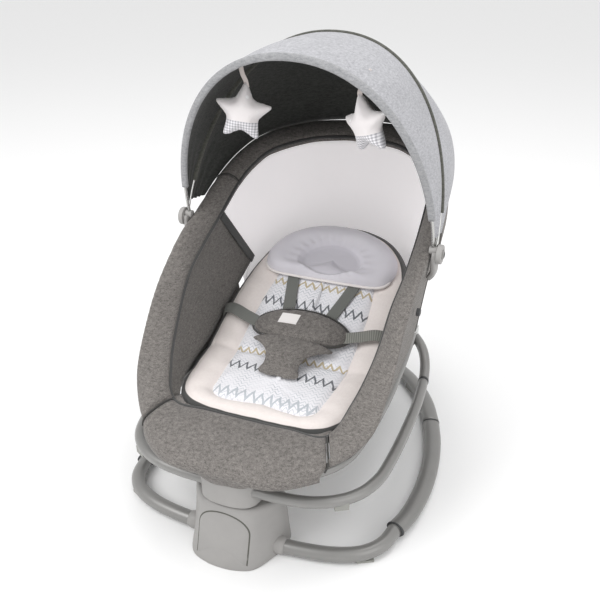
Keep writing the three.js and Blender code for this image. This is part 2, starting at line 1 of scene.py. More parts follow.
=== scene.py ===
# %% [markdown]
# # A powered baby swing, built around its working frame
# The frame is already modelled as solids that move on joints. This file gives every piece its looks.
# Each step says what the real piece is, how it could be made in Blender, and why it is made this way.
# Lengths in the lists below are millimetres, because that is how the frame was drawn; `mm` turns them
# into metres, which every object here uses.

# %% Load the frame
import json
import math

import bmesh
import bpy
import numpy as np
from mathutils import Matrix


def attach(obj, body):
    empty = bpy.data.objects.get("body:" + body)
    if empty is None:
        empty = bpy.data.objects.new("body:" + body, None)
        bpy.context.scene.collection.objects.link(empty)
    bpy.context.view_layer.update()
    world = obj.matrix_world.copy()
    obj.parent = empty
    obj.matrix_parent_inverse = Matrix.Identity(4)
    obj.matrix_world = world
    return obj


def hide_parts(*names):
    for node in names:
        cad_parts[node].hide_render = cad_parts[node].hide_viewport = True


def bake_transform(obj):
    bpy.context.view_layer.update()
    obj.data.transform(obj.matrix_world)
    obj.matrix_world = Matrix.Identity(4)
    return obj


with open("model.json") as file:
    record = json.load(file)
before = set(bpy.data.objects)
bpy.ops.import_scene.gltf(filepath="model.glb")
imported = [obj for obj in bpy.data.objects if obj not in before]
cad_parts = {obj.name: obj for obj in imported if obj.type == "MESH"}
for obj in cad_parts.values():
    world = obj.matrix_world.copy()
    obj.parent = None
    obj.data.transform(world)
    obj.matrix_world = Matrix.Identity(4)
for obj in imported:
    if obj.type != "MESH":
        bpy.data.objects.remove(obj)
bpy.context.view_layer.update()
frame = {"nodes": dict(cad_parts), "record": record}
scene = bpy.context.scene

# %% [markdown]
# ## Curves through points
# A bent tube or a padded rim could be drawn with Bezier handles. A curve that simply passes through a
# few given points needs no handles and gives the same shape each time, so everything here is a
# row of points that a smooth curve joins.

# %% Points and smooth curves
MM = 0.001
MIRROR = np.array([-1.0, 1.0, 1.0])
SIDES = (("left", -1), ("right", 1))


def mm(points):
    """Points written in millimetres, as an array in metres."""
    return np.array(points, float) * MM


def unit(v):
    return v / np.maximum(np.linalg.norm(v, axis=-1, keepdims=True), 1e-12)


def stations(points):
    """A curve through right-hand stations that crosses the middle plane squarely at both ends."""
    own = mm(points)
    line = np.vstack([own[1] * MIRROR, own, own[-2] * MIRROR])

    def at(t):
        s = min(abs(t), len(own) - 1 - 1e-9)
        i, f = int(s), s - int(s)
        a, b, c, d = line[i : i + 4]
        bend = (2 * a - 5 * b + 4 * c - d) * f * f + (3 * b - a - 3 * c + d) * f**3
        p = 0.5 * (2 * b + (c - a) * f + bend)
        return p * MIRROR if t < 0 else p

    return at


def through(extended, fine=16):
    """A centripetal curve between the second and the last but one of some points."""
    out = []
    for p0, p1, p2, p3 in zip(extended, extended[1:], extended[2:], extended[3:]):
        a, b, c = (max(np.linalg.norm(q - p), 1e-9) ** 0.5 for p, q in ((p0, p1), (p1, p2), (p2, p3)))
        m1 = (p1 - p0) / a - (p2 - p0) / (a + b) + (p2 - p1) / b
        m2 = (p2 - p1) / b - (p3 - p1) / (b + c) + (p3 - p2) / c
        s = np.arange(fine)[:, None] / fine
        ends = (2 * s**3 - 3 * s**2 + 1) * p1 + (3 * s**2 - 2 * s**3) * p2
        out.append(ends + (s**3 - 2 * s**2 + s) * m1 * b + (s**3 - s**2) * m2 * b)
    return np.vstack(out + [extended[-2][None]])


def even(points, count):
    """The same line with count points at even steps."""
    run = np.concatenate([[0], np.cumsum(np.linalg.norm(np.diff(points, axis=0), axis=1))])
    want = np.linspace(0, run[-1], count)
    return np.stack([np.interp(want, run, points[:, k]) for k in range(points.shape[1])], 1)


def open_line(points, count):
    p = np.array(points, float)
    return even(through(np.vstack([2 * p[0] - p[1], p, 2 * p[-1] - p[-2]])), count)


def closed_line(points, count):
    p = np.array(points, float)
    return even(through(np.vstack([p[-1:], p, p[:2]])), count + 1)[:-1]


def both_sides(half):
    """A right-hand or left-hand half that ends on the middle plane, joined to its mirrored half."""
    half = np.array(half, float)
    return np.vstack([half, half[-2::-1] * MIRROR])


def oval(a, b, count=24):
    turn = np.linspace(0, 2 * math.pi, count, endpoint=False)
    return np.stack([a * np.cos(turn), b * np.sin(turn)], 1)


def soft_box(a, b, count=24, square=5.0):
    """A flat section with rounded corners: webbing, straps and bands."""
    o = oval(1, 1, count)
    o = np.sign(o) * np.abs(o) ** (2 / square)
    return o * [a, b]


print("a quarter of a tube's section has", len(oval(1, 1)) // 4, "sides")

# %% [markdown]
# ## Skins and sweeps
# Nearly everything on this swing is a section carried along a line: steel tubes, piping, webbing, the
# padded rim and the canopy. One function lays faces over rows of points and writes a UV map in metres,
# so a weave or a rib keeps its true size on any piece.


# %% Skins over rows of points
def skin(name, rows, material, across=True, around=False, caps=True):
    """A mesh over rows of points. across closes each row; around joins the last row to the first."""
    rows = np.array(rows, float)
    n, m = rows.shape[:2]
    wide, long = (m if across else m - 1), (n if around else n - 1)
    i, j = (k.ravel() for k in np.meshgrid(np.arange(long), np.arange(wide), indexing="ij"))
    i2, j2 = (i + 1) % n, (j + 1) % m
    faces = np.stack([i * m + j, i * m + j2, i2 * m + j2, i2 * m + j], 1).tolist()
    step_u = np.linalg.norm(np.roll(rows, -1, 1) - rows, axis=2).mean(0)
    step_v = np.linalg.norm(np.roll(rows, -1, 0) - rows, axis=2).mean(1)
    u, v = (np.concatenate([[0], np.cumsum(s)]) for s in (step_u, step_v))
    uv = np.stack([u[j], v[i], u[j + 1], v[i], u[j + 1], v[i + 1], u[j], v[i + 1]], 1).ravel()
    ends = []
    if across and caps and not around:
        ends = [list(range(m))[::-1], list(range((n - 1) * m, n * m))]
    mesh = bpy.data.meshes.new(name)
    mesh.from_pydata(rows.reshape(-1, 3).tolist(), [], faces + ends)
    flat = np.zeros(len(mesh.loops) * 2)
    flat[: len(uv)] = uv
    mesh.uv_layers.new(name="UVMap").data.foreach_set("uv", flat)
    mesh.materials.append(material)
    tidy_normals(mesh)
    obj = bpy.data.objects.new(name, mesh)
    scene.collection.objects.link(obj)
    return obj


def tidy_normals(mesh):
    b = bmesh.new()
    b.from_mesh(mesh)
    bmesh.ops.recalc_face_normals(b, faces=b.faces)
    b.to_mesh(mesh)
    b.free()
    mesh.shade_smooth()


def crisp(obj, angle=35):
    """Keeps edges sharper than the angle crisp, as on a moulding."""
    obj.data.set_sharp_from_angle(angle=math.radians(angle))
    return obj


def sweep(name, path, section, material, up=(0, 0, 1), around=False, size=None):
    """A section carried along a path. size, one number for each point, makes it thinner or thicker."""
    path = np.array(path, float)
    ahead = np.roll(path, -1, 0) - np.roll(path, 1, 0) if around else np.gradient(path, axis=0)
    ahead = unit(ahead)
    side = unit(np.cross(ahead, np.array(up, float)))
    rise = np.cross(side, ahead)
    s = np.ones(len(path)) if size is None else np.array(size)
    rows = path[:, None] + s[:, None, None] * (
        side[:, None] * section[None, :, :1] + rise[:, None] * section[None, :, 1:2]
    )
    return skin(name, rows, material, around=around)


def baked(obj):
    """Turns the object's modifiers into its plain mesh."""
    graph = bpy.context.evaluated_depsgraph_get()
    graph.update()
    made = bpy.data.meshes.new_from_object(obj.evaluated_get(graph), depsgraph=graph)
    obj.modifiers.clear()
    old, obj.data = obj.data, made
    bpy.data.meshes.remove(old)
    made.name = obj.name
    return obj


def settle(obj, body, slot, *nodes):
    """Moves the piece with its body and hides the plain solids it stands for; slot is not used."""
    if nodes:
        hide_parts(*nodes)
    if body:
        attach(obj, body)
    return obj


def points_of(obj):
    co = np.empty(len(obj.data.vertices) * 3)
    obj.data.vertices.foreach_get("co", co)
    return co.reshape(-1, 3)


def put_points(obj, co):
    obj.data.vertices.foreach_set("co", np.asarray(co, np.float32).ravel())
    obj.data.update()


print("helpers ready")

# %% [markdown]
# ## Shader helpers
# Materials are built from nodes. `node` adds one and fills its inputs from values or from other nodes'
# outputs, which keeps each material's recipe on a few lines.


# %% Nodes by name
def node(tree, kind, inputs=(), **settings):
    made = tree.nodes.new(kind)
    for key, value in settings.items():
        setattr(made, key, value)
    for key, value in dict(inputs).items():
        if isinstance(value, bpy.types.NodeSocket):
            tree.links.new(value, made.inputs[key])
        else:
            made.inputs[key].default_value = value
    return made


def maths(tree, operation, a, b=0.0, clamp=False):
    return node(tree, "ShaderNodeMath", {0: a, 1: b}, operation=operation, use_clamp=clamp).outputs[0]


def blend_colour(tree, factor, a, b):
    mix = node(tree, "ShaderNodeMix", {}, data_type="RGBA")
    for socket, value in ((mix.inputs[0], factor), (mix.inputs[6], a), (mix.inputs[7], b)):
        if isinstance(value, bpy.types.NodeSocket):
            tree.links.new(value, socket)
        else:
            socket.default_value = value
    return mix.outputs[2]


def spread(tree, value, low, high, to_low=0.0, to_high=1.0):
    inputs = {"Value": value, "From Min": low, "From Max": high, "To Min": to_low, "To Max": to_high}
    return node(tree, "ShaderNodeMapRange", inputs, clamp=True).outputs[0]


def noise(tree, vector, scale, detail=2.0, rough=0.5):
    inputs = {"Vector": vector, "Scale": scale, "Detail": detail, "Roughness": rough}
    return node(tree, "ShaderNodeTexNoise", inputs).outputs["Fac"]


def hexa(code):
    """A screen colour such as 8c8c88 as linear red, green, blue, alpha."""
    parts = [int(code[k : k + 2], 16) / 255 for k in (0, 2, 4)]
    return (*(p / 12.92 if p <= 0.04045 else ((p + 0.055) / 1.055) ** 2.4 for p in parts), 1.0)


def group(name, inputs, outputs):
    tree = bpy.data.node_groups.new(name, "ShaderNodeTree")
    for label, kind, value in inputs:
        socket = tree.interface.new_socket(name=label, in_out="INPUT", socket_type=kind)
        if value is not None:
            socket.default_value = value
    for label in outputs:
        tree.interface.new_socket(name=label, in_out="OUTPUT", socket_type="NodeSocketFloat")
    return tree, node(tree, "NodeGroupInput").outputs, node(tree, "NodeGroupOutput").inputs


def new_material(name):
    material = bpy.data.materials.new(name)
    material.use_nodes = True
    return material, material.node_tree, material.node_tree.nodes["Principled BSDF"]


print("a mid grey 8c8c88 is", [round(c, 3) for c in hexa("8c8c88")[:3]])

# %% [markdown]
# ## Three shared effects
# Heather cloth is spun from light and dark fibres, so it shows flecks and short slubs over a plain
# weave. Moulded plastic and lacquer carry a fine grain and faint smudges. Soft jersey is a fine knit
# whose tone drifts slowly. Each effect is one node group, used by several materials at its own size.

# %% Cloth, grain and drift groups
heather, given, out = group(
    "heather",
    [
        ("Vector", "NodeSocketVector", None), ("Thread", "NodeSocketFloat", 1.2),
        ("Slub", "NodeSocketFloat", 0.5),
    ],
    ["Fleck", "Height"],
)
per_thread = maths(heather, "DIVIDE", 1000.0, given["Thread"])
fine = noise(heather, given["Vector"], maths(heather, "MULTIPLY", per_thread, 0.55), 3.0, 0.75)
stretch = node(
    heather, "ShaderNodeVectorMath", {0: given["Vector"], 1: (0.55, 0.55, 1.5)}, operation="MULTIPLY",
)
slub = noise(heather, stretch.outputs[0], maths(heather, "MULTIPLY", per_thread, 0.26), 2.0, 0.6)
both = node(heather, "ShaderNodeMix", {0: given["Slub"], 2: fine, 3: slub}, data_type="FLOAT").outputs[0]
heather.links.new(spread(heather, both, 0.36, 0.64), out["Fleck"])
parts = node(heather, "ShaderNodeSeparateXYZ", {0: given["Vector"]}).outputs
turns = maths(heather, "MULTIPLY", per_thread, math.pi)
warp = maths(
    heather, "SINE", maths(heather, "MULTIPLY", maths(heather, "ADD", parts["X"], parts["Y"]), turns),
)
weft = maths(
    heather, "SINE", maths(heather, "MULTIPLY", maths(heather, "SUBTRACT", parts["Z"], parts["Y"]), turns),
)
weave = maths(heather, "MULTIPLY", warp, weft)
heather.links.new(maths(heather, "ADD", maths(heather, "MULTIPLY", weave, 0.4), both), out["Height"])

grain, given, out = group(
    "grain",
    [("Vector", "NodeSocketVector", None), ("Size", "NodeSocketFloat", 0.6)],
    ["Height", "Smudge"],
)
density = maths(grain, "DIVIDE", 1000.0, given["Size"])
grain.links.new(noise(grain, given["Vector"], density, 2.0, 0.6), out["Height"])
grain.links.new(spread(grain, noise(grain, given["Vector"], 14.0, 3.0, 0.6), 0.3, 0.7), out["Smudge"])

drift, given, out = group(
    "drift",
    [("Vector", "NodeSocketVector", None), ("Scale", "NodeSocketFloat", 12.0)],
    ["Tone"],
)
drift.links.new(
    spread(drift, noise(drift, given["Vector"], given["Scale"], 2.0, 0.5), 0.3, 0.7), out["Tone"],
)
print("groups:", [g.name for g in bpy.data.node_groups])

# %% [markdown]
# ## Finishes
# The materials follow: heather cloth in four tones, plain soft cloths, ribbed webbing, pale knitted
# mesh, the zigzag print of the insert, lacquered tube, moulded plastic, bright steel and rubber.


# %% Cloth finishes
def object_place(tree):
    return node(tree, "ShaderNodeTexCoord").outputs["Object"]


def bump(tree, height, strength, distance, normal=None):
    inputs = {"Height": height, "Strength": strength, "Distance": distance}
    if normal:
        inputs["Normal"] = normal
    return node(tree, "ShaderNodeBump", inputs).outputs[0]


def heather_cloth(name, dark, light, thread=1.5, slub=0.55, strength=0.5, rough=0.95):
    material, tree, surface = new_material(name)
    place = object_place(tree)
    cloth = node(tree, "ShaderNodeGroup", {}, node_tree=heather)
    tree.links.new(place, cloth.inputs["Vector"])
    cloth.inputs["Thread"].default_value = thread
    cloth.inputs["Slub"].default_value = slub
    slow = node(tree, "ShaderNodeGroup", {}, node_tree=drift)
    tree.links.new(place, slow.inputs["Vector"])
    colour = blend_colour(tree, cloth.outputs["Fleck"], hexa(dark), hexa(light))
    shade = blend_colour(
        tree, maths(tree, "MULTIPLY", slow.outputs[0], 0.10), colour, (0.02, 0.02, 0.02, 1),
    )
    tree.links.new(shade, surface.inputs["Base Color"])
    tree.links.new(bump(tree, cloth.outputs["Height"], strength, 0.0006), surface.inputs["Normal"])
    surface.inputs["Roughness"].default_value = rough
    surface.inputs["Sheen Weight"].default_value = 0.15
    surface.inputs["Sheen Roughness"].default_value = 0.5
    surface.inputs["Specular IOR Level"].default_value = 0.25
    return material


def soft_cloth(name, colour, shade, scale=9.0, knit=0.9, strength=0.25):
    """A plain cloth whose tone drifts a little over a fine knit."""
    material, tree, surface = new_material(name)
    place = object_place(tree)
    slow = node(tree, "ShaderNodeGroup", {}, node_tree=drift)
    tree.links.new(place, slow.inputs["Vector"])
    slow.inputs["Scale"].default_value = scale
    cloth = node(tree, "ShaderNodeGroup", {}, node_tree=heather)
    tree.links.new(place, cloth.inputs["Vector"])
    cloth.inputs["Thread"].default_value = knit
    tree.links.new(
        blend_colour(tree, slow.outputs[0], hexa(colour), hexa(shade)), surface.inputs["Base Color"],
    )
    tree.links.new(bump(tree, cloth.outputs["Height"], strength, 0.0004), surface.inputs["Normal"])
    surface.inputs["Roughness"].default_value = 0.92
    surface.inputs["Sheen Weight"].default_value = 0.25
    surface.inputs["Specular IOR Level"].default_value = 0.2
    return material


TUB_GREY = heather_cloth("tub_grey", "565350", "918c88", 0.9, 0.4)
# The canopy's inner face: heather painted near black, as painted shade under the canopy.
CANOPY_INSIDE_SHADE = heather_cloth("canopy_lining", "2f302e", "484946", 1.3, 0.55, 0.35)
BAND = heather_cloth("dark_band", "474843", "66665f", 1.2, 0.5, 0.3)
CANOPY_GREY = heather_cloth("canopy_grey", "98989c", "bfbfc3", 0.9, 0.5, 0.3)
HEM_GREY = heather_cloth("hem_grey", "88898b", "acacae", 1.1, 0.5, 0.25)
# The tub's own heather made a little darker: painted shade for the inner walls.
SHADED_TUB_GREY = heather_cloth("inner_grey", "53514e", "87837f", 0.9, 0.4, 0.4)
BINDING = soft_cloth("binding", "454545", "555554")
CREAM = soft_cloth("cream_jersey", "ece4e1", "e2d9d6")
RIBBON = soft_cloth("ribbon", "d9cfcb", "cdc3bf")
PIPING = soft_cloth("white_piping", "f1ecea", "e6e0de")
PATCH = soft_cloth("blank_patch", "f4f1ef", "ece8e6", knit=0.5)
print("cloths:", len(bpy.data.materials))

# %% [markdown]
# The pillow's jersey is smooth and pale, and a vertex attribute says where its sunken middle is, so
# one material paints that middle darker, as painted shade. The knitted mesh is a lattice of tiny
# hexagons; a Voronoi texture gives the holes, and they only darken and dent the surface, because the
# real mesh looks white. A faint emission makes the mesh glow brighter: painted light.


# %% Jersey, mesh and webbing
def attribute(tree, name):
    return node(tree, "ShaderNodeAttribute", attribute_name=name).outputs["Fac"]


def jersey(name):
    material, tree, surface = new_material(name)
    place = object_place(tree)
    slow = node(tree, "ShaderNodeGroup", {}, node_tree=drift)
    tree.links.new(place, slow.inputs["Vector"])
    outer = blend_colour(tree, slow.outputs[0], hexa("dedbe1"), hexa("d3d0d7"))
    # The sunken middle is painted darker: painted shade in the dip.
    tree.links.new(
        blend_colour(tree, attribute(tree, "hollow"), outer, hexa("cbc8cf")), surface.inputs["Base Color"],
    )
    tree.links.new(bump(tree, noise(tree, place, 1500.0), 0.2, 0.0004), surface.inputs["Normal"])
    surface.inputs["Roughness"].default_value = 0.9
    surface.inputs["Sheen Weight"].default_value = 0.3
    return material


def knitted_mesh(name):
    material, tree, surface = new_material(name)
    place = object_place(tree)
    cells = node(tree, "ShaderNodeTexVoronoi", {"Vector": place, "Scale": 420.0, "Randomness": 0.25})
    hole = spread(tree, cells.outputs["Distance"], 0.18, 0.42, 1.0, 0.0)
    colour = blend_colour(tree, maths(tree, "MULTIPLY", hole, 0.35), hexa("f1edee"), hexa("c9c6c7"))
    tree.links.new(colour, surface.inputs["Base Color"])
    tree.links.new(bump(tree, cells.outputs["Distance"], 0.4, 0.0006), surface.inputs["Normal"])
    surface.inputs["Roughness"].default_value = 0.85
    # The emission is painted light: it makes the mesh glow brighter than the lamps alone would.
    surface.inputs["Emission Color"].default_value = (1, 0.98, 0.99, 1)
    surface.inputs["Emission Strength"].default_value = 0.3
    return material


def webbing(name, dark, light, rib=2.4):
    """Ribs run across the strap, so the pattern follows the UV map's length."""
    material, tree, surface = new_material(name)
    uv = node(tree, "ShaderNodeTexCoord").outputs["UV"]
    along = node(tree, "ShaderNodeSeparateXYZ", {0: uv}).outputs["Y"]
    across = node(tree, "ShaderNodeSeparateXYZ", {0: uv}).outputs["X"]
    ribs = maths(tree, "SINE", maths(tree, "MULTIPLY", along, 2000 * math.pi / rib))
    lines = maths(tree, "SINE", maths(tree, "MULTIPLY", across, 2000 * math.pi / 1.6))
    height = maths(tree, "ADD", ribs, maths(tree, "MULTIPLY", lines, 0.5))
    # The ribs and lines are the weave's own; the colour, darker in each groove and lighter on each crest, is
    # painted shade and light.
    colour = blend_colour(tree, spread(tree, height, -1.2, 1.2), hexa(dark), hexa(light))
    tree.links.new(colour, surface.inputs["Base Color"])
    tree.links.new(bump(tree, height, 0.35, 0.0004), surface.inputs["Normal"])
    surface.inputs["Roughness"].default_value = 0.8
    surface.inputs["Sheen Weight"].default_value = 0.1
    return material


JERSEY = jersey("pillow_jersey")
MESH = knitted_mesh("knitted_mesh")
STRAP = webbing("strap_webbing", "61635f", "7c7d79")
RIBBED = webbing("ribbed_webbing", "666762", "96968f", 4.2)
print("mesh cells are", round(1000 / 420, 1), "mm apart")

# %% [markdown]
# The insert's middle carries a printed zigzag. A triangle wave added to the length coordinate bends a
# stripe into a zigzag, so the whole print is stripes: thin pale chevrons everywhere, one bold dark row
# on the seat and one on the back, beige rows near the folds, and a broad pale row at the foot. The
# pad's own UV map holds millimetres across and along it, and two attributes say where the cream
# border and the dark binding are.

# %% The printed insert
PRINT_ROWS = (  # middle of the row along the pad, half width, colour, height of the teeth: millimetres
    (-40, 3.6, "6c6f74", 19),
    (140, 3.6, "6c6f74", 19),
    (12, 2.6, "c2b497", 12),
    (192, 3.0, "c2b497", 14),
    (-118, 4.5, "bcc1c7", 20),
)


def zigzag_cloth(name):
    material, tree, surface = new_material(name)
    uv = node(tree, "ShaderNodeUVMap", uv_map="UVMap").outputs[0]
    parts = node(tree, "ShaderNodeSeparateXYZ", {0: uv}).outputs
    wobble = noise(tree, uv, 60.0, 2.0)
    wide = maths(tree, "ADD", parts["X"], maths(tree, "MULTIPLY", wobble, 0.006))

    def stripe(tooth, pitch):
        wave = maths(tree, "PINGPONG", maths(tree, "ADD", wide, 5.0), pitch / 2 * MM)
        return maths(tree, "ADD", parts["Y"], maths(tree, "MULTIPLY", wave, tooth / (pitch / 2)))

    thin = maths(tree, "PINGPONG", maths(tree, "ADD", stripe(7, 12), 5.0), 4.2 * MM)
    lines = spread(tree, thin, 0.9 * MM, 1.7 * MM, 1.0, 0.0)
    patchy = spread(tree, noise(tree, uv, 22.0), 0.40, 0.60, 0.25, 0.9)
    colour = blend_colour(tree, maths(tree, "MULTIPLY", lines, patchy), hexa("f0eff3"), hexa("c3c7cd"))
    for middle, half, ink, tooth in PRINT_ROWS:
        away = maths(tree, "SUBTRACT", stripe(tooth, 17), (middle + tooth / 2) * MM)
        row = spread(tree, maths(tree, "ABSOLUTE", away), half * MM, (half + 0.9) * MM, 1.0, 0.0)
        colour = blend_colour(tree, row, colour, hexa(ink))
    cloth = node(tree, "ShaderNodeGroup", {}, node_tree=heather)
    tree.links.new(object_place(tree), cloth.inputs["Vector"])
    cloth.inputs["Thread"].default_value = 0.9
    border = blend_colour(tree, cloth.outputs["Fleck"], hexa("e9e0dc"), hexa("efe7e3"))
    colour = blend_colour(tree, attribute(tree, "border"), colour, border)
    colour = blend_colour(tree, attribute(tree, "edge"), colour, hexa("4b4b4a"))
    tree.links.new(colour, surface.inputs["Base Color"])
    tree.links.new(bump(tree, cloth.outputs["Height"], 0.25, 0.0004), surface.inputs["Normal"])
    surface.inputs["Roughness"].default_value = 0.92
    surface.inputs["Sheen Weight"].default_value = 0.25
    return material


ZIGZAG = zigzag_cloth("zigzag_print")
print("printed rows:", len(PRINT_ROWS))

# %% [markdown]
# The stars are plush above and a small check below, with a seam between. Height on the star decides
# which, and both come from the piece's own UV map, so the pattern hangs with the toy.


# %% Star plush
def star_plush(name):
    material, tree, surface = new_material(name)
    parts = node(tree, "ShaderNodeSeparateXYZ", {0: node(tree, "ShaderNodeTexCoord").outputs["UV"]}).outputs
    place = object_place(tree)

    def lines(value):
        wave = maths(tree, "PINGPONG", maths(tree, "ADD", value, 1.0), 2.4 * MM)
        return spread(tree, wave, 1.0 * MM, 1.5 * MM)

    check = maths(tree, "MULTIPLY", maths(tree, "ADD", lines(parts["X"]), lines(parts["Y"])), 0.5)
    lower = blend_colour(tree, check, hexa("efedf0"), hexa("a6a5ab"))
    dots = node(tree, "ShaderNodeTexVoronoi", {"Vector": place, "Scale": 48.0, "Randomness": 0.3})
    spot = spread(tree, dots.outputs["Distance"], 0.14, 0.2, 1.0, 0.0)
    upper = blend_colour(tree, spot, hexa("e9e4e4"), hexa("fbfafa"))
    is_upper = spread(tree, parts["Y"], -0.013, -0.012)
    tree.links.new(blend_colour(tree, is_upper, lower, upper), surface.inputs["Base Color"])
    tree.links.new(bump(tree, noise(tree, place, 900.0, 3.0), 0.5, 0.001), surface.inputs["Normal"])
    surface.inputs["Roughness"].default_value = 0.95
    surface.inputs["Sheen Weight"].default_value = 0.5
    return material


PLUSH = star_plush("star_plush")
print("star plush made")

# %% [markdown]
# Hard finishes read their grain from the Object coordinates. Lacquered tube is a satin grey with a
# little metal flake, the housing is a slightly rougher moulding, and smudges vary the gloss.


# %% Hard finishes
def hard(name, colour, rough, metallic=0.0, size=0.7, strength=0.12, coat=0.0, dust=0.06):
    material, tree, surface = new_material(name)
    place = object_place(tree)
    fine = node(tree, "ShaderNodeGroup", {}, node_tree=grain)
    tree.links.new(place, fine.inputs["Vector"])
    fine.inputs["Size"].default_value = size
    base = hexa(colour)
    lighter = tuple(min(1.0, c * (1 + 2 * dust)) for c in base[:3]) + (1.0,)
    tree.links.new(blend_colour(tree, fine.outputs["Smudge"], base, lighter), surface.inputs["Base Color"])
    gloss = spread(tree, fine.outputs["Smudge"], 0.0, 1.0, rough - 0.05, rough + 0.07)
    tree.links.new(gloss, surface.inputs["Roughness"])
    tree.links.new(bump(tree, fine.outputs["Height"], strength, 0.0003), surface.inputs["Normal"])
    surface.inputs["Metallic"].default_value = metallic
    surface.inputs["Coat Weight"].default_value = coat
    surface.inputs["Coat Roughness"].default_value = 0.25
    return material


LACQUER = hard("grey_lacquer", "858482", 0.38, 0.35, 0.5, 0.05, 0.25)
MOULDING = hard("grey_moulding", "959391", 0.52, 0.0, 0.6, 0.15)
CLAMP = hard("clamp_moulding", "9a9896", 0.5, 0.0, 0.5, 0.12)
DARK = hard("dark_moulding", "3d3e3f", 0.6)
SHADOW_GAP = hard("shadow_gap", "55554f", 0.8)
SEAM_THREAD = soft_cloth("seam_thread", "3f3e3c", "4a4947")
STEEL = hard("bright_steel", "b8b8b6", 0.22, 1.0, 0.8, 0.03)
RUBBER = hard("foot_rubber", "8f8f8a", 0.85, 0.0, 0.9, 0.25)
NYLON = hard("natural_nylon", "e2e0d8", 0.5)
BOARD = hard("pressed_board", "746a5d", 0.8, 0.0, 1.4, 0.4)
GREEN = hard("solder_mask", "2f6b40", 0.4)
RED = hard("button_red", "b03a35", 0.35)
CAD_FINISH = {
    "frame_tube": LACQUER, "foot_rubber": RUBBER, "shell_plastic": MOULDING, "dark_plastic": DARK,
    "nylon": NYLON, "circuit_board": GREEN, "bright_steel": STEEL, "grey_melange": TUB_GREY,
    "mesh_cloth": MESH, "cream_fabric": CREAM, "lilac_fabric": JERSEY, "board": BOARD,
    "webbing": STRAP, "button_red": RED, "canopy_cloth": CANOPY_GREY, "toy_plush": PLUSH,
}
for row in frame["record"]["subparts"]:
    mesh = frame["nodes"][row["node"]].data
    mesh.materials.clear()
    mesh.materials.append(CAD_FINISH[row["material_slot"]])

# %% [markdown]
# ## Stuffed pieces
# A cushion is a sewn cover blown up by its filling. It could be sculpted by hand, but a short cloth
# simulation with inner pressure rounds it the way real stuffing does. The cover is remeshed evenly,
# inflated for twenty frames with no gravity, and no point may travel further than a set distance.


# %% Inflating a cover
def stuff(obj, cap, voxel=0.005, pressure=4.0):
    remesh = obj.modifiers.new("even", "REMESH")
    remesh.mode = "VOXEL"
    remesh.voxel_size = voxel
    baked(obj)
    before = points_of(obj)
    cloth = obj.modifiers.new("filling", "CLOTH")
    cloth.settings.use_pressure = True
    cloth.settings.uniform_pressure_force = pressure
    cloth.settings.effector_weights.gravity = 0.0
    cloth.settings.quality = 4
    cloth.settings.mass = 0.3
    cloth.collision_settings.use_collision = False
    cloth.point_cache.frame_end = 20
    for step in range(1, 21):
        scene.frame_set(step)
    baked(obj)
    moved = points_of(obj) - before
    reach = np.linalg.norm(moved, axis=1, keepdims=True)
    put_points(obj, before + moved * np.minimum(1.0, cap / np.maximum(reach, 1e-9)))
    scene.frame_set(1)
    subdivide = obj.modifiers.new("fine", "SUBSURF")
    subdivide.levels = subdivide.render_levels = 1
    baked(obj)
    obj.data.shade_smooth()
    return obj


def write_attribute(obj, name, values):
    made = obj.data.attributes.new(name, "FLOAT", "POINT")
    made.data.foreach_set("value", np.asarray(values, np.float32))


def write_uv(obj, per_point):
    """A UV map from two numbers for each point."""
    mesh = obj.data
    for layer in list(mesh.uv_layers):
        mesh.uv_layers.remove(layer)
    layer = mesh.uv_layers.new(name="UVMap")
    corner = np.empty(len(mesh.loops), int)
    mesh.loops.foreach_get("vertex_index", corner)
    layer.data.foreach_set("uv", np.asarray(per_point, np.float32)[corner].ravel())


print("simulation", "on")

# %% [markdown]
# ## Camera, light and floor
# A long lens from above the foot end, soft light all round and a white floor that takes a faint shadow.

# %% Camera, light and floor
AIM = np.array([0.0, 0.095, 0.227])
AZIMUTH, ELEVATION, DISTANCE = math.radians(21.43), math.radians(29.19), 1.5276
back = np.array(
    [math.sin(AZIMUTH) * math.cos(ELEVATION), -math.cos(AZIMUTH) * math.cos(ELEVATION), math.sin(ELEVATION)]
)
camera = bpy.data.objects.new("camera", bpy.data.cameras.new("camera"))
scene.collection.objects.link(camera)
camera.location = AIM + DISTANCE * back
camera.rotation_euler = (math.pi / 2 - ELEVATION, 0, AZIMUTH)
camera.data.lens = 44.43
camera.data.sensor_width = 36
camera.data.shift_x, camera.data.shift_y = -0.0365, 0.0364
scene.camera = camera
scene.view_settings.view_transform = "Standard"

world = bpy.data.worlds.new("studio")
world.use_nodes = True
world.node_tree.nodes["Background"].inputs["Color"].default_value = (1, 1, 1, 1)
world.node_tree.nodes["Background"].inputs["Strength"].default_value = 0.85
scene.world = world

floor_mesh = bpy.data.meshes.new("floor")
FLOOR_HALF = 12.0
corners = [(x * FLOOR_HALF, y * FLOOR_HALF, 0) for x, y in ((-1, -1), (1, -1), (1, 1), (-1, 1))]
floor_mesh.from_pydata(corners, [], [(0, 1, 2, 3)])
floor = bpy.data.objects.new("floor", floor_mesh)
scene.collection.objects.link(floor)
paint, _, paint_surface = new_material("floor_paint")
paint_surface.inputs["Base Color"].default_value = (0.93, 0.93, 0.93, 1)
paint_surface.inputs["Roughness"].default_value = 0.9
floor_mesh.materials.append(paint)


def lamp(name, place, target, size, power):
    data = bpy.data.lights.new(name, "AREA")
    data.size, data.energy = size, power
    light = bpy.data.objects.new(name, data)
    scene.collection.objects.link(light)
    light.location = place
    direction = np.array(target, float) - np.array(place, float)
    light.rotation_euler = (
        math.atan2(math.hypot(direction[0], direction[1]), -direction[2]),
        0,
        math.atan2(direction[1], direction[0]) - math.pi / 2,
    )


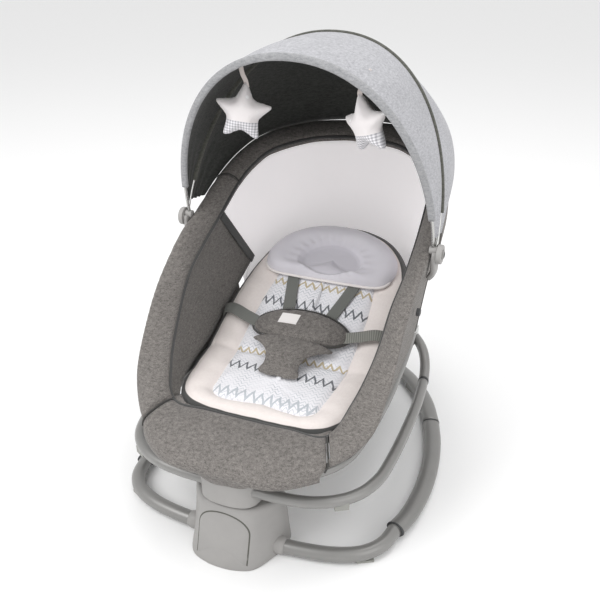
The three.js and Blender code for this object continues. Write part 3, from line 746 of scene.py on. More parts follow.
lamp("key", (-1.6, -1.9, 2.6), (0, 0, 0.3), 1.8, 46)
lamp("fill", (2.2, -1.2, 1.6), (0, 0, 0.3), 2.0, 16)
lamp("top", (0.2, 0.6, 2.8), (0, 0.1, 0.3), 1.6, 18)
print("camera at", [round(c, 3) for c in camera.location])

# %% [markdown]
# ## The floor ring
# A steel tube bent into an oval stands on four small rubber feet. The front length is round where it
# runs under the housing and the sides are pressed flatter. Narrow gaps show where the lengths join.


# %% Floor ring
def sleeve(name, point, ahead, a, b, length, material):
    """A short ring around a tube, where two lengths meet."""
    ahead = unit(np.array(ahead, float))
    at = np.array(point, float)
    path = [at - ahead * length / 2, at + ahead * length / 2]
    return sweep(name, path, oval(a, b, 32), material)


FLOOR_FRONT = [(-256, -206), (-246, -246), (-222, -276), (-180, -297), (-110, -310), (0, -312)]
FLOOR_SIDE = [(256.6, -203.5), (268, -165), (275, -90), (271, -15), (258, 58), (239, 122)]
FLOOR_REAR = [(238, 124.8), (211, 187), (177, 240), (138, 283), (94, 314), (48, 334), (0, 340)]
FLOOR_Z = 16


def on_floor(points):
    return [(x, y, FLOOR_Z) for x, y in points]


front_path = open_line(mm(both_sides(on_floor(FLOOR_FRONT))), 110)
rear_path = open_line(mm(both_sides(on_floor(FLOOR_REAR))), 110)
settle(sweep("floor_tube_front", front_path, oval(13 * MM, 13 * MM, 32), LACQUER),
       "base", "frame_tube", "floor_front_tube")
settle(sweep("floor_tube_rear", rear_path, oval(17 * MM, 9.5 * MM, 32), LACQUER),
       "base", "frame_tube", "floor_rear_tube")
for side, s in SIDES:
    path = open_line(mm(on_floor(FLOOR_SIDE)) * [s, 1, 1], 60)
    settle(sweep("floor_tube_" + side, path, oval(17 * MM, 9.5 * MM, 32), LACQUER),
           "base", "frame_tube", "floor_side_tube_" + side)
    start, end = path[0] - path[1], path[-1] - path[-2]
    settle(
        sleeve("floor_joint_front_" + side, path[0], start, 17.6 * MM, 13.4 * MM, 0.003, DARK), "base",
        "dark_plastic",
    )
    settle(
        sleeve("floor_joint_rear_" + side, path[-1], end, 17.5 * MM, 10 * MM, 0.003, DARK), "base",
        "dark_plastic",
    )
print("floor ring tubes:", 4)

# %% [markdown]
# ## The swinging ring
# A round tube carries the tub. It turns about the spindle in the housing at the foot; behind, a second
# bend rises to hold the head end. Black sleeves cover the two joints.

# %% Swinging ring and hoop
RING_HALF = [
    (-222, 89.6, 137), (-228, 40, 138), (-232, -12, 139), (-234, -90, 139), (-233, -170, 139),
    (-228, -225, 139), (-210, -270, 139), (-180, -300, 139), (-140, -319, 139), (-90, -327, 139),
    (-45, -328, 139),
]
RISE_HALF = [
    (-221.85, 90.6, 137), (-221.3, 95, 136.9), (-219, 110, 147), (-214, 127, 161), (-204, 150, 170),
    (-186, 178, 175), (-160, 208, 176), (-120, 235, 176), (-60, 250, 176), (0, 253, 176),
]
ring_points = np.vstack([mm(RING_HALF), (mm(RING_HALF) * MIRROR)[::-1]])
settle(sweep("swing_ring", open_line(ring_points, 170), oval(0.010, 0.010, 32), LACQUER),
       "swing", "frame_tube", "swing_front_tube")
settle(sweep("swing_rise", open_line(both_sides(mm(RISE_HALF)), 140), oval(0.010, 0.010, 32), LACQUER),
       "swing", "frame_tube", "swing_rear_tube")
for side, s in SIDES:
    at = mm((s * 222, 90, 137))
    settle(
        sleeve("ring_joint_" + side, at, (-s * 6, 50, -1), 0.0106, 0.0106, 0.007, DARK), "swing",
        "dark_plastic",
    )

HOOP = stations([
    (0, -356, 195), (92, -352, 195), (156, -305, 195), (184, -258, 195), (192, -200, 195), (195, -130, 195),
    (194, -60, 195), (190, 10, 195), (183, 90, 195), (173, 175, 195), (152, 258, 195), (104, 328, 195),
    (46, 358, 195), (0, 363, 195),
])
LAST = 13
hoop_loop = even(np.array([HOOP(t) for t in np.linspace(-LAST, LAST, 261)]), 261)[:-1]
settle(
    sweep("hoop", hoop_loop, oval(0.008, 0.008, 24), LACQUER, around=True), "swing", "frame_tube",
    "tub_hoop",
)
print("ring, rise and hoop made")

# %% [markdown]
# ## The motor housing
# The housing tapers upwards and ends in a rounded shoulder. It is a stack of outlines, each the same
# row of stations eased from the wide foot to the narrow top, and the last few shrink inwards to round
# the edge. The front panel is the same skin raised by half a millimetre inside an arch.

# %% Motor housing
BODY_LOW = [(0, -384), (32, -380), (60, -366), (80, -325), (86, -296), (82, -265), (40, -256), (0, -255)]
BODY_HIGH = [(0, -352), (28, -349), (50, -340), (70, -316), (80, -296), (76, -272), (38, -264), (0, -263)]
BODY_TOP = 108
HOUSING_MIDDLE = mm((0, -312, 0))


def outline(low, high, z, top, inset=0.0, samples=37):
    ease = max(z / top, 0) ** 0.75
    half = [tuple(a + (b - a) * ease for a, b in zip(p, q)) + (z,) for p, q in zip(low, high)]
    at = stations(half)
    line = np.array([at(t) for t in np.linspace(0, len(half) - 1, samples)])
    loop = np.vstack([line, (line * MIRROR)[-2:0:-1]])
    inward = HOUSING_MIDDLE - loop
    inward[:, 2] = 0
    return loop + unit(inward) * inset * MM


def body_rows():
    rows = [outline(BODY_LOW, BODY_HIGH, 0.5, BODY_TOP, 1.5)]
    rows += [outline(BODY_LOW, BODY_HIGH, z, BODY_TOP) for z in (2, 12, 30, 52, 74, 92)]
    for turn in np.linspace(0, math.pi / 2, 7):
        z = BODY_TOP - 9 + 9 * math.sin(turn)
        rows.append(outline(BODY_LOW, BODY_HIGH, z, BODY_TOP, 9 * (1 - math.cos(turn))))
    for inset in (22, 40, 56):
        rows.append(outline(BODY_LOW, BODY_HIGH, BODY_TOP, BODY_TOP, inset))
    return rows


body = crisp(skin("housing_body", body_rows(), MOULDING, caps=True), 50)
settle(body, "base", "shell_plastic", "housing_shell")


def arch(half, count):
    """The panel's outline: straight sides and a round head, as x and z."""
    turn = np.linspace(math.pi, 0, count)
    head = [(half * math.cos(a), 62 + (half - 11) * math.sin(a)) for a in turn]
    rise = [(-half, z) for z in (10, 25, 44)]
    return rise + head + [(half, z) for z in (44, 25, 10)]


FRONT_LOOK = {}


def front_y(x, z):
    """Where the housing's front stands at a width and a height, in millimetres."""
    key = round(z, 3)
    if key not in FRONT_LOOK:
        loop = outline(BODY_LOW, BODY_HIGH, z, BODY_TOP) / MM
        front = loop[loop[:, 1] < -296]
        FRONT_LOOK[key] = front[np.argsort(front[:, 0])]
    line = FRONT_LOOK[key]
    return float(np.interp(x, line[:, 0], line[:, 1]))


def arch_piece(name, shrinks, lifts, material):
    rows = []
    for shrink, lift in zip(shrinks, lifts):
        ring = np.array(arch(47, 31))
        ring = (ring - [0, 50]) * shrink + [0, 50]
        rows.append([(x, front_y(x, z) - lift, z) for x, z in ring])
    return crisp(skin(name, mm(rows), material), 40)


settle(
    arch_piece("panel_gap", (1.03, 1.028, 0.93, 0.93), (-1.2, 0.25, 0.25, -1.2), SHADOW_GAP), "base",
    "dark_plastic",
)
shrinks = (0.985, 0.985, 0.965, 0.8, 0.6, 0.4, 0.2, 0.02)
settle(arch_piece("panel_front", shrinks, (-1.2, 0.9, 1.5, 1.6, 1.6, 1.6, 1.6, 1.6), MOULDING),
       "base", "shell_plastic", "front_panel")

# A rounded socket where the ring tube leaves each side of the housing.
for side, s in SIDES:
    path = open_line(mm([(s * 60, -310.5, 16), (s * 88, -311, 16), (s * 93, -311, 16)]), 12)
    size = [1, 1, 1, 1, 1, 1, 1, 1, 0.99, 0.96, 0.9, 0.84]
    settle(
        sweep("tube_socket_" + side, path, oval(0.0165, 0.0165, 32), MOULDING, size=size), "base",
        "shell_plastic",
    )
print("housing faces:", len(body.data.polygons))

# %% [markdown]
# Above a thin dark gap sits the cap that turns with the ring. The tub's cloth skirt comes down around it.

# %% Rotor cap and skirt
CAP_HALF = [(0, -351), (26, -348.5), (45, -339), (53, -320), (50, -296), (34, -281), (0, -276)]


def cap_row(z, inset):
    return outline(CAP_HALF, CAP_HALF, z, 200, inset, 31)


cap_rows = [
    cap_row(112.4, 3), cap_row(112.4, 0), cap_row(150, 0), cap_row(183, 0), cap_row(186, 2),
    cap_row(186, 20),
]
settle(crisp(skin("cap_shell", cap_rows, MOULDING), 40), "swing", "shell_plastic", "rotor_cap")
settle(skin("cap_gap", [cap_row(108.2, 6), cap_row(113, 6)], SHADOW_GAP), "swing", "dark_plastic")
CUFF_TOP = 186  # above this height the skirt is smooth, because it is sewn to the tub
skirt_rows = []
for z, out in (
    (160, 2.2), (159, 3.6), (160, 5.5), (172, 7), (186, 12), (199, 20), (203, 20), (203, 14), (186, 6),
    (168, 2),
):
    row = cap_row(z, -out)
    angle = np.arange(len(row)) / len(row) * 2 * math.pi
    row[:, 2] += 0.0012 * np.sin(7 * angle) * (z < CUFF_TOP)
    skirt_rows.append(row)
settle(skin("cap_skirt", skirt_rows, TUB_GREY, around=True), "swing", "grey_melange")
print("cap and skirt made")

# %% [markdown]
# ## The tub
# The tub is quilted heather cloth over a rim tube. Two station curves carry its shape: the inner seam
# and the crest. At each station a closed section is drawn from the seam over the roll, down the outer
# wall to the hem on the hoop and back up inside, and a smooth closed curve rounds it.

# %% Tub stations and sections
INNER = stations([
    (0, -252, 216), (75, -252, 217), (144, -248, 219), (172, -205, 262), (189, -143, 318), (195, -82, 380),
    (198, -20, 412), (197, 57, 450), (193, 130, 490), (185, 190, 514), (160, 240, 533), (100, 292, 547),
    (45, 325, 547), (0, 335, 546),
])
CREST = stations([
    (0, -366, 209), (90, -358, 210), (168, -308, 212), (216, -250, 240), (231, -200, 298), (233, -135, 370),
    (234, -60, 424), (234, 20, 458), (231, 110, 500), (222, 195, 530), (196, 270, 550), (126, 342, 562),
    (56, 375, 565), (0, 380, 564),
])
HEM_Z = 204.5 * MM
FOOT_END, HEAD_START = 2, 8


def frame_at(t):
    """Seam, crest and hoop at a station, and the level direction that points out of the tub."""
    s, c, h = INNER(t), CREST(t), HOOP(t)
    out = (c - s) * [1, 1, 0]
    out = out / np.linalg.norm(out)

    def shifted(p, away, up):
        return p + out * away * MM + np.array([0, 0, up]) * MM

    return s, c, h, shifted


def at_height(p, z):
    return np.array([p[0], p[1], z])


def side_section(t):
    s, c, h, shifted = frame_at(t)
    hem = at_height(shifted(h, 4, 0), HEM_Z)
    inner = at_height(shifted(hem, -8, 0), HEM_Z)
    belly = shifted((c + hem) / 2, 3, 0)
    inside = shifted(c, -10, -15)
    inside[2] = max(inside[2], HEM_Z + 2 * MM)
    under = shifted(s, 0, -8)
    under[2] = max(under[2], HEM_Z + 2 * MM)
    roll = [s, shifted(s, 3, 9), shifted((s + c) / 2, 0, 15), shifted(c, -4, 7), c]
    return closed_line(roll + [belly, hem, inner, (inside + inner) / 2, inside, under], 96)


def foot_section(t):
    s, c, h, shifted = frame_at(t)
    low = HEM_Z + 0.5 * MM
    hem = at_height(shifted(h, 16, 0), 0.188)
    lip = at_height(shifted(h, 10, 0), low)
    top = [s, shifted(s, 6, 5), shifted((s * 0.45 + c * 0.55), 0, 8), c, shifted(hem, 1, 10), hem]
    return closed_line(top + [shifted(hem, -6, 0), lip, at_height((s + c) / 2, low), at_height(s, low)], 96)


def head_section(t):
    s, c, h, shifted = frame_at(t)
    hem = shifted(c, -5, -82)
    top = [s, shifted(s, 3, 9), shifted((s + c) / 2, 0, 15), shifted(c, -4, 7), c, shifted(c, -1, -40)]
    return closed_line(top + [hem, shifted(hem, -6, 0), shifted(c, -10, -15), shifted(s, 0, -8)], 96)


def wrinkled(rows, size, along, seed):
    """A slow ripple in the cloth, small at the seams, so that it doesn't look moulded."""
    rows = np.array(rows)
    n, m = rows.shape[:2]
    random = np.random.default_rng(seed)
    v, u = np.meshgrid(np.linspace(0, 1, n), np.linspace(0, 2 * math.pi, m, endpoint=False), indexing="ij")
    wave = np.zeros((n, m))
    for _ in range(7):
        turns, phase, lean = random.integers(1, 5), random.uniform(0, 6.28), random.uniform(0.5, along)
        wave += np.sin(turns * u + 2 * math.pi * lean * v + phase) / 7
    ends = np.minimum(1, np.minimum(v, 1 - v) * 12)
    outward = unit(rows - rows.mean(1, keepdims=True))
    return rows + outward * (wave * ends * size)[:, :, None]


print("a side section has", len(side_section(4)), "points")

# %% [markdown]
# The three rolls meet at seams. Each is one skin over its sections, with a slow ripple.

# %% Foot shelf, side walls and head roll
foot_rows = [foot_section(t) for t in np.linspace(-FOOT_END + 0.04, FOOT_END - 0.04, 70)]
shelf = skin("foot_shelf", wrinkled(foot_rows, 0.0016, 3, 3), TUB_GREY)
settle(shelf, "swing", "grey_melange", "foot_panel")
for side, s in SIDES:
    rows = [side_section(s * t) for t in np.linspace(FOOT_END + 0.05, HEAD_START - 0.03, 110)]
    roll = skin("side_roll_" + side, wrinkled(rows, 0.0022, 5, 7 + s), TUB_GREY)
    settle(roll, "swing", "grey_melange", "side_panel_" + side)
round_head = np.concatenate([np.linspace(HEAD_START, LAST, 56), -np.linspace(LAST, HEAD_START, 56)[1:]])
rim_roll = skin("head_rim", wrinkled([head_section(t) for t in round_head], 0.0016, 5, 21), TUB_GREY)
settle(rim_roll, "swing", "grey_melange", "head_roll")

for side, s in SIDES:
    section = foot_section(s * FOOT_END)[:38]
    settle(
        sweep("foot_seam_" + side, section, oval(0.0016, 0.0016, 10), SEAM_THREAD), "swing", "grey_melange",
    )
    section = side_section(s * HEAD_START)[:44]
    settle(
        sweep("head_seam_" + side, section, oval(0.0014, 0.0014, 10), SEAM_THREAD), "swing", "grey_melange",
    )
print("rolls made")

# %% [markdown]
# ## Inside the tub
# Heather lining falls from the inner seam to the insert along both sides, in the tub's cloth painted a
# little darker as shade. From the canopy's pivots to the head, white knitted mesh takes its place. Both
# are ruled between an upper and a lower edge, and a slight sag keeps them from looking like card.


# %% Lining, mesh window and binding
def eased(table, t):
    keys = [k for k, _ in table]
    return np.array([np.interp(t, keys, [p[i] for _, p in table]) for i in range(3)]) * MM


LINING_FOOT = [
    (2.0, (144, -230, 214)), (3, (163, -190, 217)), (4, (174, -130, 222)), (5, (178, -50, 236)),
    (6, (179, 40, 276)), (7, (176, 140, 322)),
]
MESH_FRONT_TOP = 7.0


def wall(name, side, ts, foot, material, sag, thick=0.0025, rows=16):
    grid = []
    for t in ts:
        top, low = INNER(side * t) + [0, 0, -0.004], foot(t) * [side, 1, 1]
        k = np.linspace(0, 1, rows)[:, None]
        line = top + (low - top) * k
        outward = unit((top - np.array([0, top[1], top[2]])))
        line = line + outward * sag * np.sin(math.pi * k)
        back = line + outward * thick
        grid.append(np.vstack([line, back[::-1]]))
    return skin(name, grid, material)


def mesh_foot(t):
    """The mesh runs down to the tub's floor behind the insert."""
    h = HOOP(t)
    k = min(1.0, (t - MESH_FRONT_TOP) / 2.0)
    front = mm((176, 140, 322))
    low = at_height(h * [0.96, 0.95, 1], 0.215)
    return front + (low - front) * k ** 0.8


# The side linings use the tub's heather painted darker as shade.
for side, s in SIDES:
    settle(wall(
        "lining_" + side, s, np.linspace(2.02, 7.0, 60), lambda t: eased(LINING_FOOT, t), SHADED_TUB_GREY, 0.004,
    ),
           "swing", "grey_melange")
ts = np.linspace(MESH_FRONT_TOP, LAST - 0.001, 60)
around_head = [(1, t) for t in ts] + [(-1, t) for t in ts[::-1][1:]]
grid = []
for s, t in around_head:
    top, low = INNER(s * t) + [0, 0, -0.004], mesh_foot(t) * [s, 1, 1]
    k = np.linspace(0, 1, 26)[:, None]
    outward = unit((HOOP(s * t) - [0, 0.1, 0]) * [1, 1, 0])
    line = top + (low - top) * k + outward * 0.008 * np.sin(math.pi * k)
    grid.append(np.vstack([line, (line + outward * 0.002)[::-1]]))
settle(skin("mesh_wall", grid, MESH), "swing", "mesh_cloth", "mesh_window")

seam_line = np.array([INNER(t) + [0, 0, 0.001] for t in np.linspace(-LAST, LAST, 300)])[:-1]
settle(
    sweep("seam_binding", seam_line, oval(0.0032, 0.0032, 12), BINDING, around=True), "swing",
    "grey_melange",
)
for side, s in SIDES:
    top, low = INNER(s * 7.0) + [0, 0, -0.002], mm((s * 176, 140, 322))
    line = top + (low - top) * np.linspace(0, 1, 24)[:, None] + [-s * 0.001, 0, 0]
    settle(
        sweep("mesh_binding_" + side, line, soft_box(0.009, 0.0016), BINDING, up=(1, 0, 0)), "swing",
        "grey_melange",
    )
print("lining, mesh and binding made")

# %% [markdown]
# ## Stitches
# Stitching repeats, so Geometry Nodes sets it out: a mesh line is turned into a curve, small thread
# pieces stand at even steps along it, and the tree gives them their material. The tree has named
# inputs, and the finished stitches are baked so that they can ride on the frame.


# %% A stitch maker
def socket_id(tree, label):
    return next(i.identifier for i in tree.interface.items_tree if i.name == label and i.in_out == "INPUT")


def stitch_tree():
    tree = bpy.data.node_groups.new("stitches", "GeometryNodeTree")
    tree.interface.new_socket(name="Line", in_out="INPUT", socket_type="NodeSocketGeometry")
    for label, value in (("Pitch", 0.004), ("Length", 0.0026), ("Width", 0.0009)):
        made = tree.interface.new_socket(name=label, in_out="INPUT", socket_type="NodeSocketFloat")
        made.default_value = value
    tree.interface.new_socket(name="Thread", in_out="INPUT", socket_type="NodeSocketMaterial")
    tree.interface.new_socket(name="Stitches", in_out="OUTPUT", socket_type="NodeSocketGeometry")
    given = node(tree, "NodeGroupInput").outputs
    curve = node(tree, "GeometryNodeMeshToCurve", {"Mesh": given["Line"]}).outputs[0]
    spaced = node(
        tree, "GeometryNodeCurveToPoints", {"Curve": curve, "Length": given["Pitch"]}, mode="LENGTH",
    )
    size = node(
        tree, "ShaderNodeCombineXYZ", {"X": given["Length"], "Y": given["Width"], "Z": given["Width"]},
    )
    thread = node(tree, "GeometryNodeMeshUVSphere", {"Segments": 6, "Rings": 4, "Radius": 0.5})
    turn = node(tree, "FunctionNodeAlignRotationToVector", {"Vector": spaced.outputs["Tangent"]}, axis="X")
    placed = node(tree, "GeometryNodeInstanceOnPoints", {
        "Points": spaced.outputs["Points"], "Instance": thread.outputs["Mesh"],
        "Rotation": turn.outputs[0], "Scale": size.outputs[0],
    })
    real = node(tree, "GeometryNodeRealizeInstances", {"Geometry": placed.outputs[0]})
    done = node(tree, "GeometryNodeSetMaterial", {"Geometry": real.outputs[0], "Material": given["Thread"]})
    node(tree, "NodeGroupOutput", {"Stitches": done.outputs[0]})
    return tree


STITCHES = stitch_tree()


def stitched(name, line, material, pitch=0.0045, length=0.003, width=0.001):
    mesh = bpy.data.meshes.new(name)
    mesh.from_pydata(np.asarray(line).tolist(), [(i, i + 1) for i in range(len(line) - 1)], [])
    mesh.materials.append(material)
    obj = bpy.data.objects.new(name, mesh)
    scene.collection.objects.link(obj)
    modifier = obj.modifiers.new("stitches", "NODES")
    modifier.node_group = STITCHES
    for label, value in (("Pitch", pitch), ("Length", length), ("Width", width), ("Thread", material)):
        modifier[socket_id(STITCHES, label)] = value
    baked(obj)
    obj.data.shade_smooth()
    return obj


def hem_line(ts, away, up, steps):
    """A line a little way up from the hem, just outside the cloth."""
    out = []
    for t in ts:
        s, c, h, shifted = frame_at(t)
        out.append(at_height(shifted(h, away, 0), HEM_Z + up))
    return even(np.array(out), steps)


HEM_THREAD = soft_cloth("hem_thread", "8a8681", "7d7974")
for side, s in SIDES:
    ts = s * np.linspace(FOOT_END + 0.1, HEAD_START - 0.1, 90)
    hem = hem_line(ts, away=6.4, up=0.012, steps=200)
    settle(stitched("hem_stitches_" + side, hem, HEM_THREAD), "swing", "grey_melange")
print("stitch rows made")

# %% [markdown]
# ## The insert
# The insert is a quilted cushion in one piece that bends where the backrest turns. Its profile is drawn
# once, as a height over the distance from the edge: a full border, a groove where the border is sewn
# down, and a softer middle. The pad's own line runs flat on the seat, turns up at the fold and curls a
# little more at the head.

# %% The pad's line and outline
FOLD = mm((0, -69, 204))
SEAT_TILT, BACK_TILT, HEAD_CURL = 4.0, 24.2, 20.0
GRID_V = np.arange(-260, 420, 1.0)


def ramp(x, low, high):
    k = np.clip((x - low) / (high - low), 0, 1)
    return k * k * (3 - 2 * k)


fold_turn = (BACK_TILT - SEAT_TILT) * ramp(GRID_V, -25, 25)
GRID_TILT = np.radians(SEAT_TILT + fold_turn + HEAD_CURL * ramp(GRID_V, 235, 370))
GRID_Y = np.concatenate([[0], np.cumsum(np.cos(GRID_TILT[:-1]))])
GRID_Z = np.concatenate([[0], np.cumsum(np.sin(GRID_TILT[:-1]))])
GRID_Y -= np.interp(0, GRID_V, GRID_Y)
GRID_Z -= np.interp(0, GRID_V, GRID_Z)


def on_pad(u, v, h):
    """A place on the pad: across, along from the fold, and above its base, all in millimetres."""
    u, v, h = np.broadcast_arrays(*(np.asarray(k, float) for k in (u, v, h)))
    tilt = np.interp(v, GRID_V, GRID_TILT)
    y = np.interp(v, GRID_V, GRID_Y) - h * np.sin(tilt)
    z = np.interp(v, GRID_V, GRID_Z) + h * np.cos(tilt)
    return FOLD + np.stack([u, y, z], -1) * MM


PAD_HALF = [
    (0, -177), (80, -174), (126, -163), (150, -143), (164, -110), (170, -60), (174, 0), (176, 80),
    (172, 165), (160, 240), (138, 300), (100, 340), (50, 358), (0, 362),
]
pad_half = open_line([(u, v, 0) for u, v in PAD_HALF], 181)
pad_outline = np.vstack([pad_half, (pad_half * MIRROR)[-2:0:-1]])[:, :2]
print("insert outline:", len(pad_outline), "points, length", round(float(GRID_V[-1]), 0))


# %% The insert itself
def inset_ring(outline, depth, low, high):
    """The outline moved inwards by a distance, towards a short middle line."""
    middle = np.stack([np.zeros(len(outline)), np.clip(outline[:, 1], low, high)], 1)
    reach = np.linalg.norm(outline - middle, axis=1)
    share = depth / reach
    share = np.where(share < 0.85, share, 0.99 - 0.14 * np.exp(-(share - 0.85) / 0.14))
    return outline + (middle - outline) * share[:, None]


PAD_PROFILE = [  # distance from the edge in border widths, height
    (2.6, 2), (0.4, 2), (0.06, 2), (-0.015, 5), (-0.03, 11), (-0.015, 17), (0.03, 21), (0.07, 23.4), (
        0.11, 25,
    ),
    (0.2, 28), (0.35, 30.5), (0.5, 31), (0.65, 30), (0.8, 27.5), (0.9, 24.5), (0.97, 21.5), (1.0, 20.4),
    (1.03, 21.5), (1.1, 24), (1.2, 25.6), (1.35, 26.6), (1.6, 27), (1.9, 27), (2.2, 27), (2.5, 27), (
        2.76, 27,
    ),
]
border_width = np.interp(pad_outline[:, 1], [-177, -110, 362], [48, 62, 62])
rows, record_uv, record_depth = [], [], []
for share, height in open_line(PAD_PROFILE, 90):
    flat = inset_ring(pad_outline, border_width * share, -70, 230)
    u, v = flat[:, 0], flat[:, 1]
    h = np.full(len(u), float(height))
    if share > 1.05:
        h -= 5.5 * np.exp(-(((v - 9) / 6.5) ** 2))
        h += 0.9 * np.sin(u / 13 + 1.3) * np.sin(v / 17) + 0.6 * np.sin(u / 7.1 - v / 9.3)
    elif 0 < share < 1 and height > 20:
        turn = np.arange(len(u)) * 2 * math.pi / len(u)
        h += 0.5 * np.sin(9 * turn) + 0.4 * np.sin(23 * turn + 1) + 0.3 * np.sin(41 * turn)
        h -= 2.2 * np.exp(-(((v - 9) / 9) ** 2)) * (share > 0.2)
    rows.append(on_pad(u, v, h))
    record_uv.append(flat * MM)
    record_depth.append(np.stack([np.full(len(u), share), h], 1))
insert = skin("insert", rows, ZIGZAG)
write_uv(insert, np.vstack(record_uv))
depth = np.vstack(record_depth)
is_top = depth[:, 1] > 16
write_attribute(insert, "border", (depth[:, 0] < 1.0) * 1.0)
write_attribute(insert, "edge", ((depth[:, 0] < 0.12) | ~is_top) * 1.0)
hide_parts("insert_seat", "insert_back")
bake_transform(insert)
print("insert faces:", len(insert.data.polygons))

# %% [markdown]
# Under it the tub's heather floor comes up to the seam at the foot and shows as a narrow strip there.

# %% Tub liner
liner_rows = []
for v in np.linspace(-186, 330, 90):
    half = np.interp(v, pad_half[:, 1], pad_half[:, 0]) + 5 if v > -176 else 125 + (v + 186)
    lift = 1.2 + 22 * ramp(-v, 168, 186)
    u = np.linspace(-half, half, 24)
    top = on_pad(u, v, lift)
    liner_rows.append(np.vstack([top, on_pad(u, v, lift - 0.6)[::-1]]))
liner = skin("tub_liner", liner_rows, TUB_GREY)
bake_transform(liner)
strip = [(-150, -164), (-128, -183), (-80, -191), (0, -193), (80, -191), (128, -183), (150, -164)]
strip_path = open_line([on_pad(u, v, 24) for u, v in strip], 60)
settle(sweep("foot_strip", strip_path, soft_box(0.011, 0.004), TUB_GREY), "swing", "grey_melange")
print("liner made")

# %% [markdown]
# ## The head pillow
# A jersey horseshoe around a sunken middle. The outline is inset in the same way, and a smooth dip with
# radial gathers is pressed into the middle.

# %% Pillow
PILLOW_HALF = [
    (0, 206), (60, 206), (108, 208), (128, 220), (137, 246), (133, 278), (112, 312), (74, 338), (32, 350),
    (0, 352),
]
half = open_line([(u, v, 0) for u, v in PILLOW_HALF], 91)
pillow_outline = np.vstack([half, (half * MIRROR)[-2:0:-1]])[:, :2]
PILLOW_PROFILE = [
    (60, 27.6), (20, 27.6), (4, 28.5), (0, 31), (-1.5, 35), (-1, 39), (2, 43), (7, 48), (13, 51.5), (
        20, 53.4,
    ),
    (27, 54), (34, 53), (40, 51), (46, 49), (54, 47), (62, 46), (72, 45.5), (84, 45), (98, 45), (112, 45),
]
rows, hollow = [], []
for depth_mm, height in open_line(PILLOW_PROFILE, 80):
    flat = inset_ring(pillow_outline, depth_mm, 262, 268)
    u, v = flat[:, 0], flat[:, 1]
    h = np.full(len(u), float(height))
    if height > 38:
        far = np.hypot(u / 64, (v - 250) / np.where(v > 250, 52, 36))
        dip = 1 - ramp(far, 0.86, 1.12)
        turn = np.arctan2(v - 250, u)
        h -= 11 * dip + 1.2 * np.exp(-(((far - 1.0) / 0.07) ** 2))
        h += 0.9 * np.sin(26 * turn) * np.exp(-(((far - 1.2) / 0.22) ** 2))
    rows.append(on_pad(u, v, h))
    # sunk marks the dip, which the jersey paints darker as shade.
    sunk = 1 - ramp(np.hypot(u / 64, (v - 250) / np.where(v > 250, 52, 36)), 0.94, 1.0)
    hollow.append(sunk if height > 38 else 0 * u)
pillow = skin("pillow", rows, JERSEY)
write_attribute(pillow, "hollow", np.concatenate(hollow))
settle(pillow, "backrest", "lilac_fabric", "head_pillow")
edge = [
    (-134, 226), (-122, 211), (-100, 205), (-50, 203), (0, 203), (50, 203), (100, 205), (122, 211),
    (134, 226),
]
settle(sweep(
    "pillow_piping", open_line([on_pad(u, v, 36) for u, v in edge], 80), oval(0.0028, 0.0028, 14), PIPING,
),
       "backrest", "lilac_fabric")
print("pillow made")

# %% [markdown]
# ## The harness
# Flat webbing comes out under the pillow and from the sides of the insert and meets at a stuffed belly
# pad. The pad and the piece between the legs are one padded cloth. Only these are inflated by the cloth
# simulation, because their seams make the filling bulge.


# %% Webbing
def strap(name, points, half, body, node_name, material=STRAP, normal=(0, -0.41, 0.91)):
    path = open_line(points, 48)
    made = sweep(name, path, soft_box(half, 0.0011, 16), material, up=normal)
    return settle(made, body, "webbing", *([node_name] if node_name else []))


WAIST_LINE = [(173, 0, 266), (165, -3, 277), (148, -6, 281), (118, -12, 274), (88, -18, 268)]
SHOULDER_LINE = [(67, 232, 29), (65, 205, 31), (57, 170, 30), (49, 138, 30), (42, 108, 30)]
for side, s in SIDES:
    shoulder = [on_pad(s * u, v, h) for u, v, h in SHOULDER_LINE]
    strap("shoulder_webbing_" + side, shoulder, 0.0125, "backrest", "shoulder_strap_" + side)
    waist = mm(WAIST_LINE) * [s, 1, 1]
    strap(
        "waist_webbing_" + side, waist, 0.0125, "backrest", "waist_strap_" + side,
        RIBBED if s > 0 else STRAP,
    )
print("straps made")

# %% Belly pad and crotch piece
HARNESS = mm((0, -18, 271))
HARNESS_TILT = math.radians(15)


def on_harness(co):
    """From the harness's own plane, in metres, to its place above the seat."""
    c, s = math.cos(HARNESS_TILT), math.sin(HARNESS_TILT)
    x, y, z = co[:, 0], co[:, 1], co[:, 2]
    return HARNESS + np.stack([x, y * c - z * s, y * s + z * c], 1)


def cushion(name, outline, profile, material, low=0.0, high=0.0):
    """A closed cushion over an outline, from a profile of inset and height in millimetres."""
    rows = []
    for inset, height in profile:
        flat = inset_ring(outline, inset, low, high)
        rows.append(np.column_stack([flat, np.full(len(flat), height)]) * MM)
    return skin(name, rows, material)


def drooped(co):
    co = co.copy()
    co[:, 2] -= 1.3 * co[:, 0] ** 2
    co[:, 2] -= 0.012 * ramp(-co[:, 1], 0.07, 0.125)
    return co


turn = np.linspace(0, 2 * math.pi, 120, endpoint=False)
belly_outline = np.stack([98 * np.sign(np.cos(turn)) * np.abs(np.cos(turn)) ** 0.9, 44 * np.sin(turn)], 1)
belly = cushion(
    "belly_cushion", belly_outline,
    [(40, 1), (12, 1), (2, 2.5), (0, 5.5), (2, 9), (10, 11.5), (22, 13), (40, 14)], TUB_GREY,
)
stuff(belly, 0.004, 0.004)
put_points(belly, on_harness(drooped(points_of(belly))))
settle(belly, "swing", "grey_melange", "belly_pad")

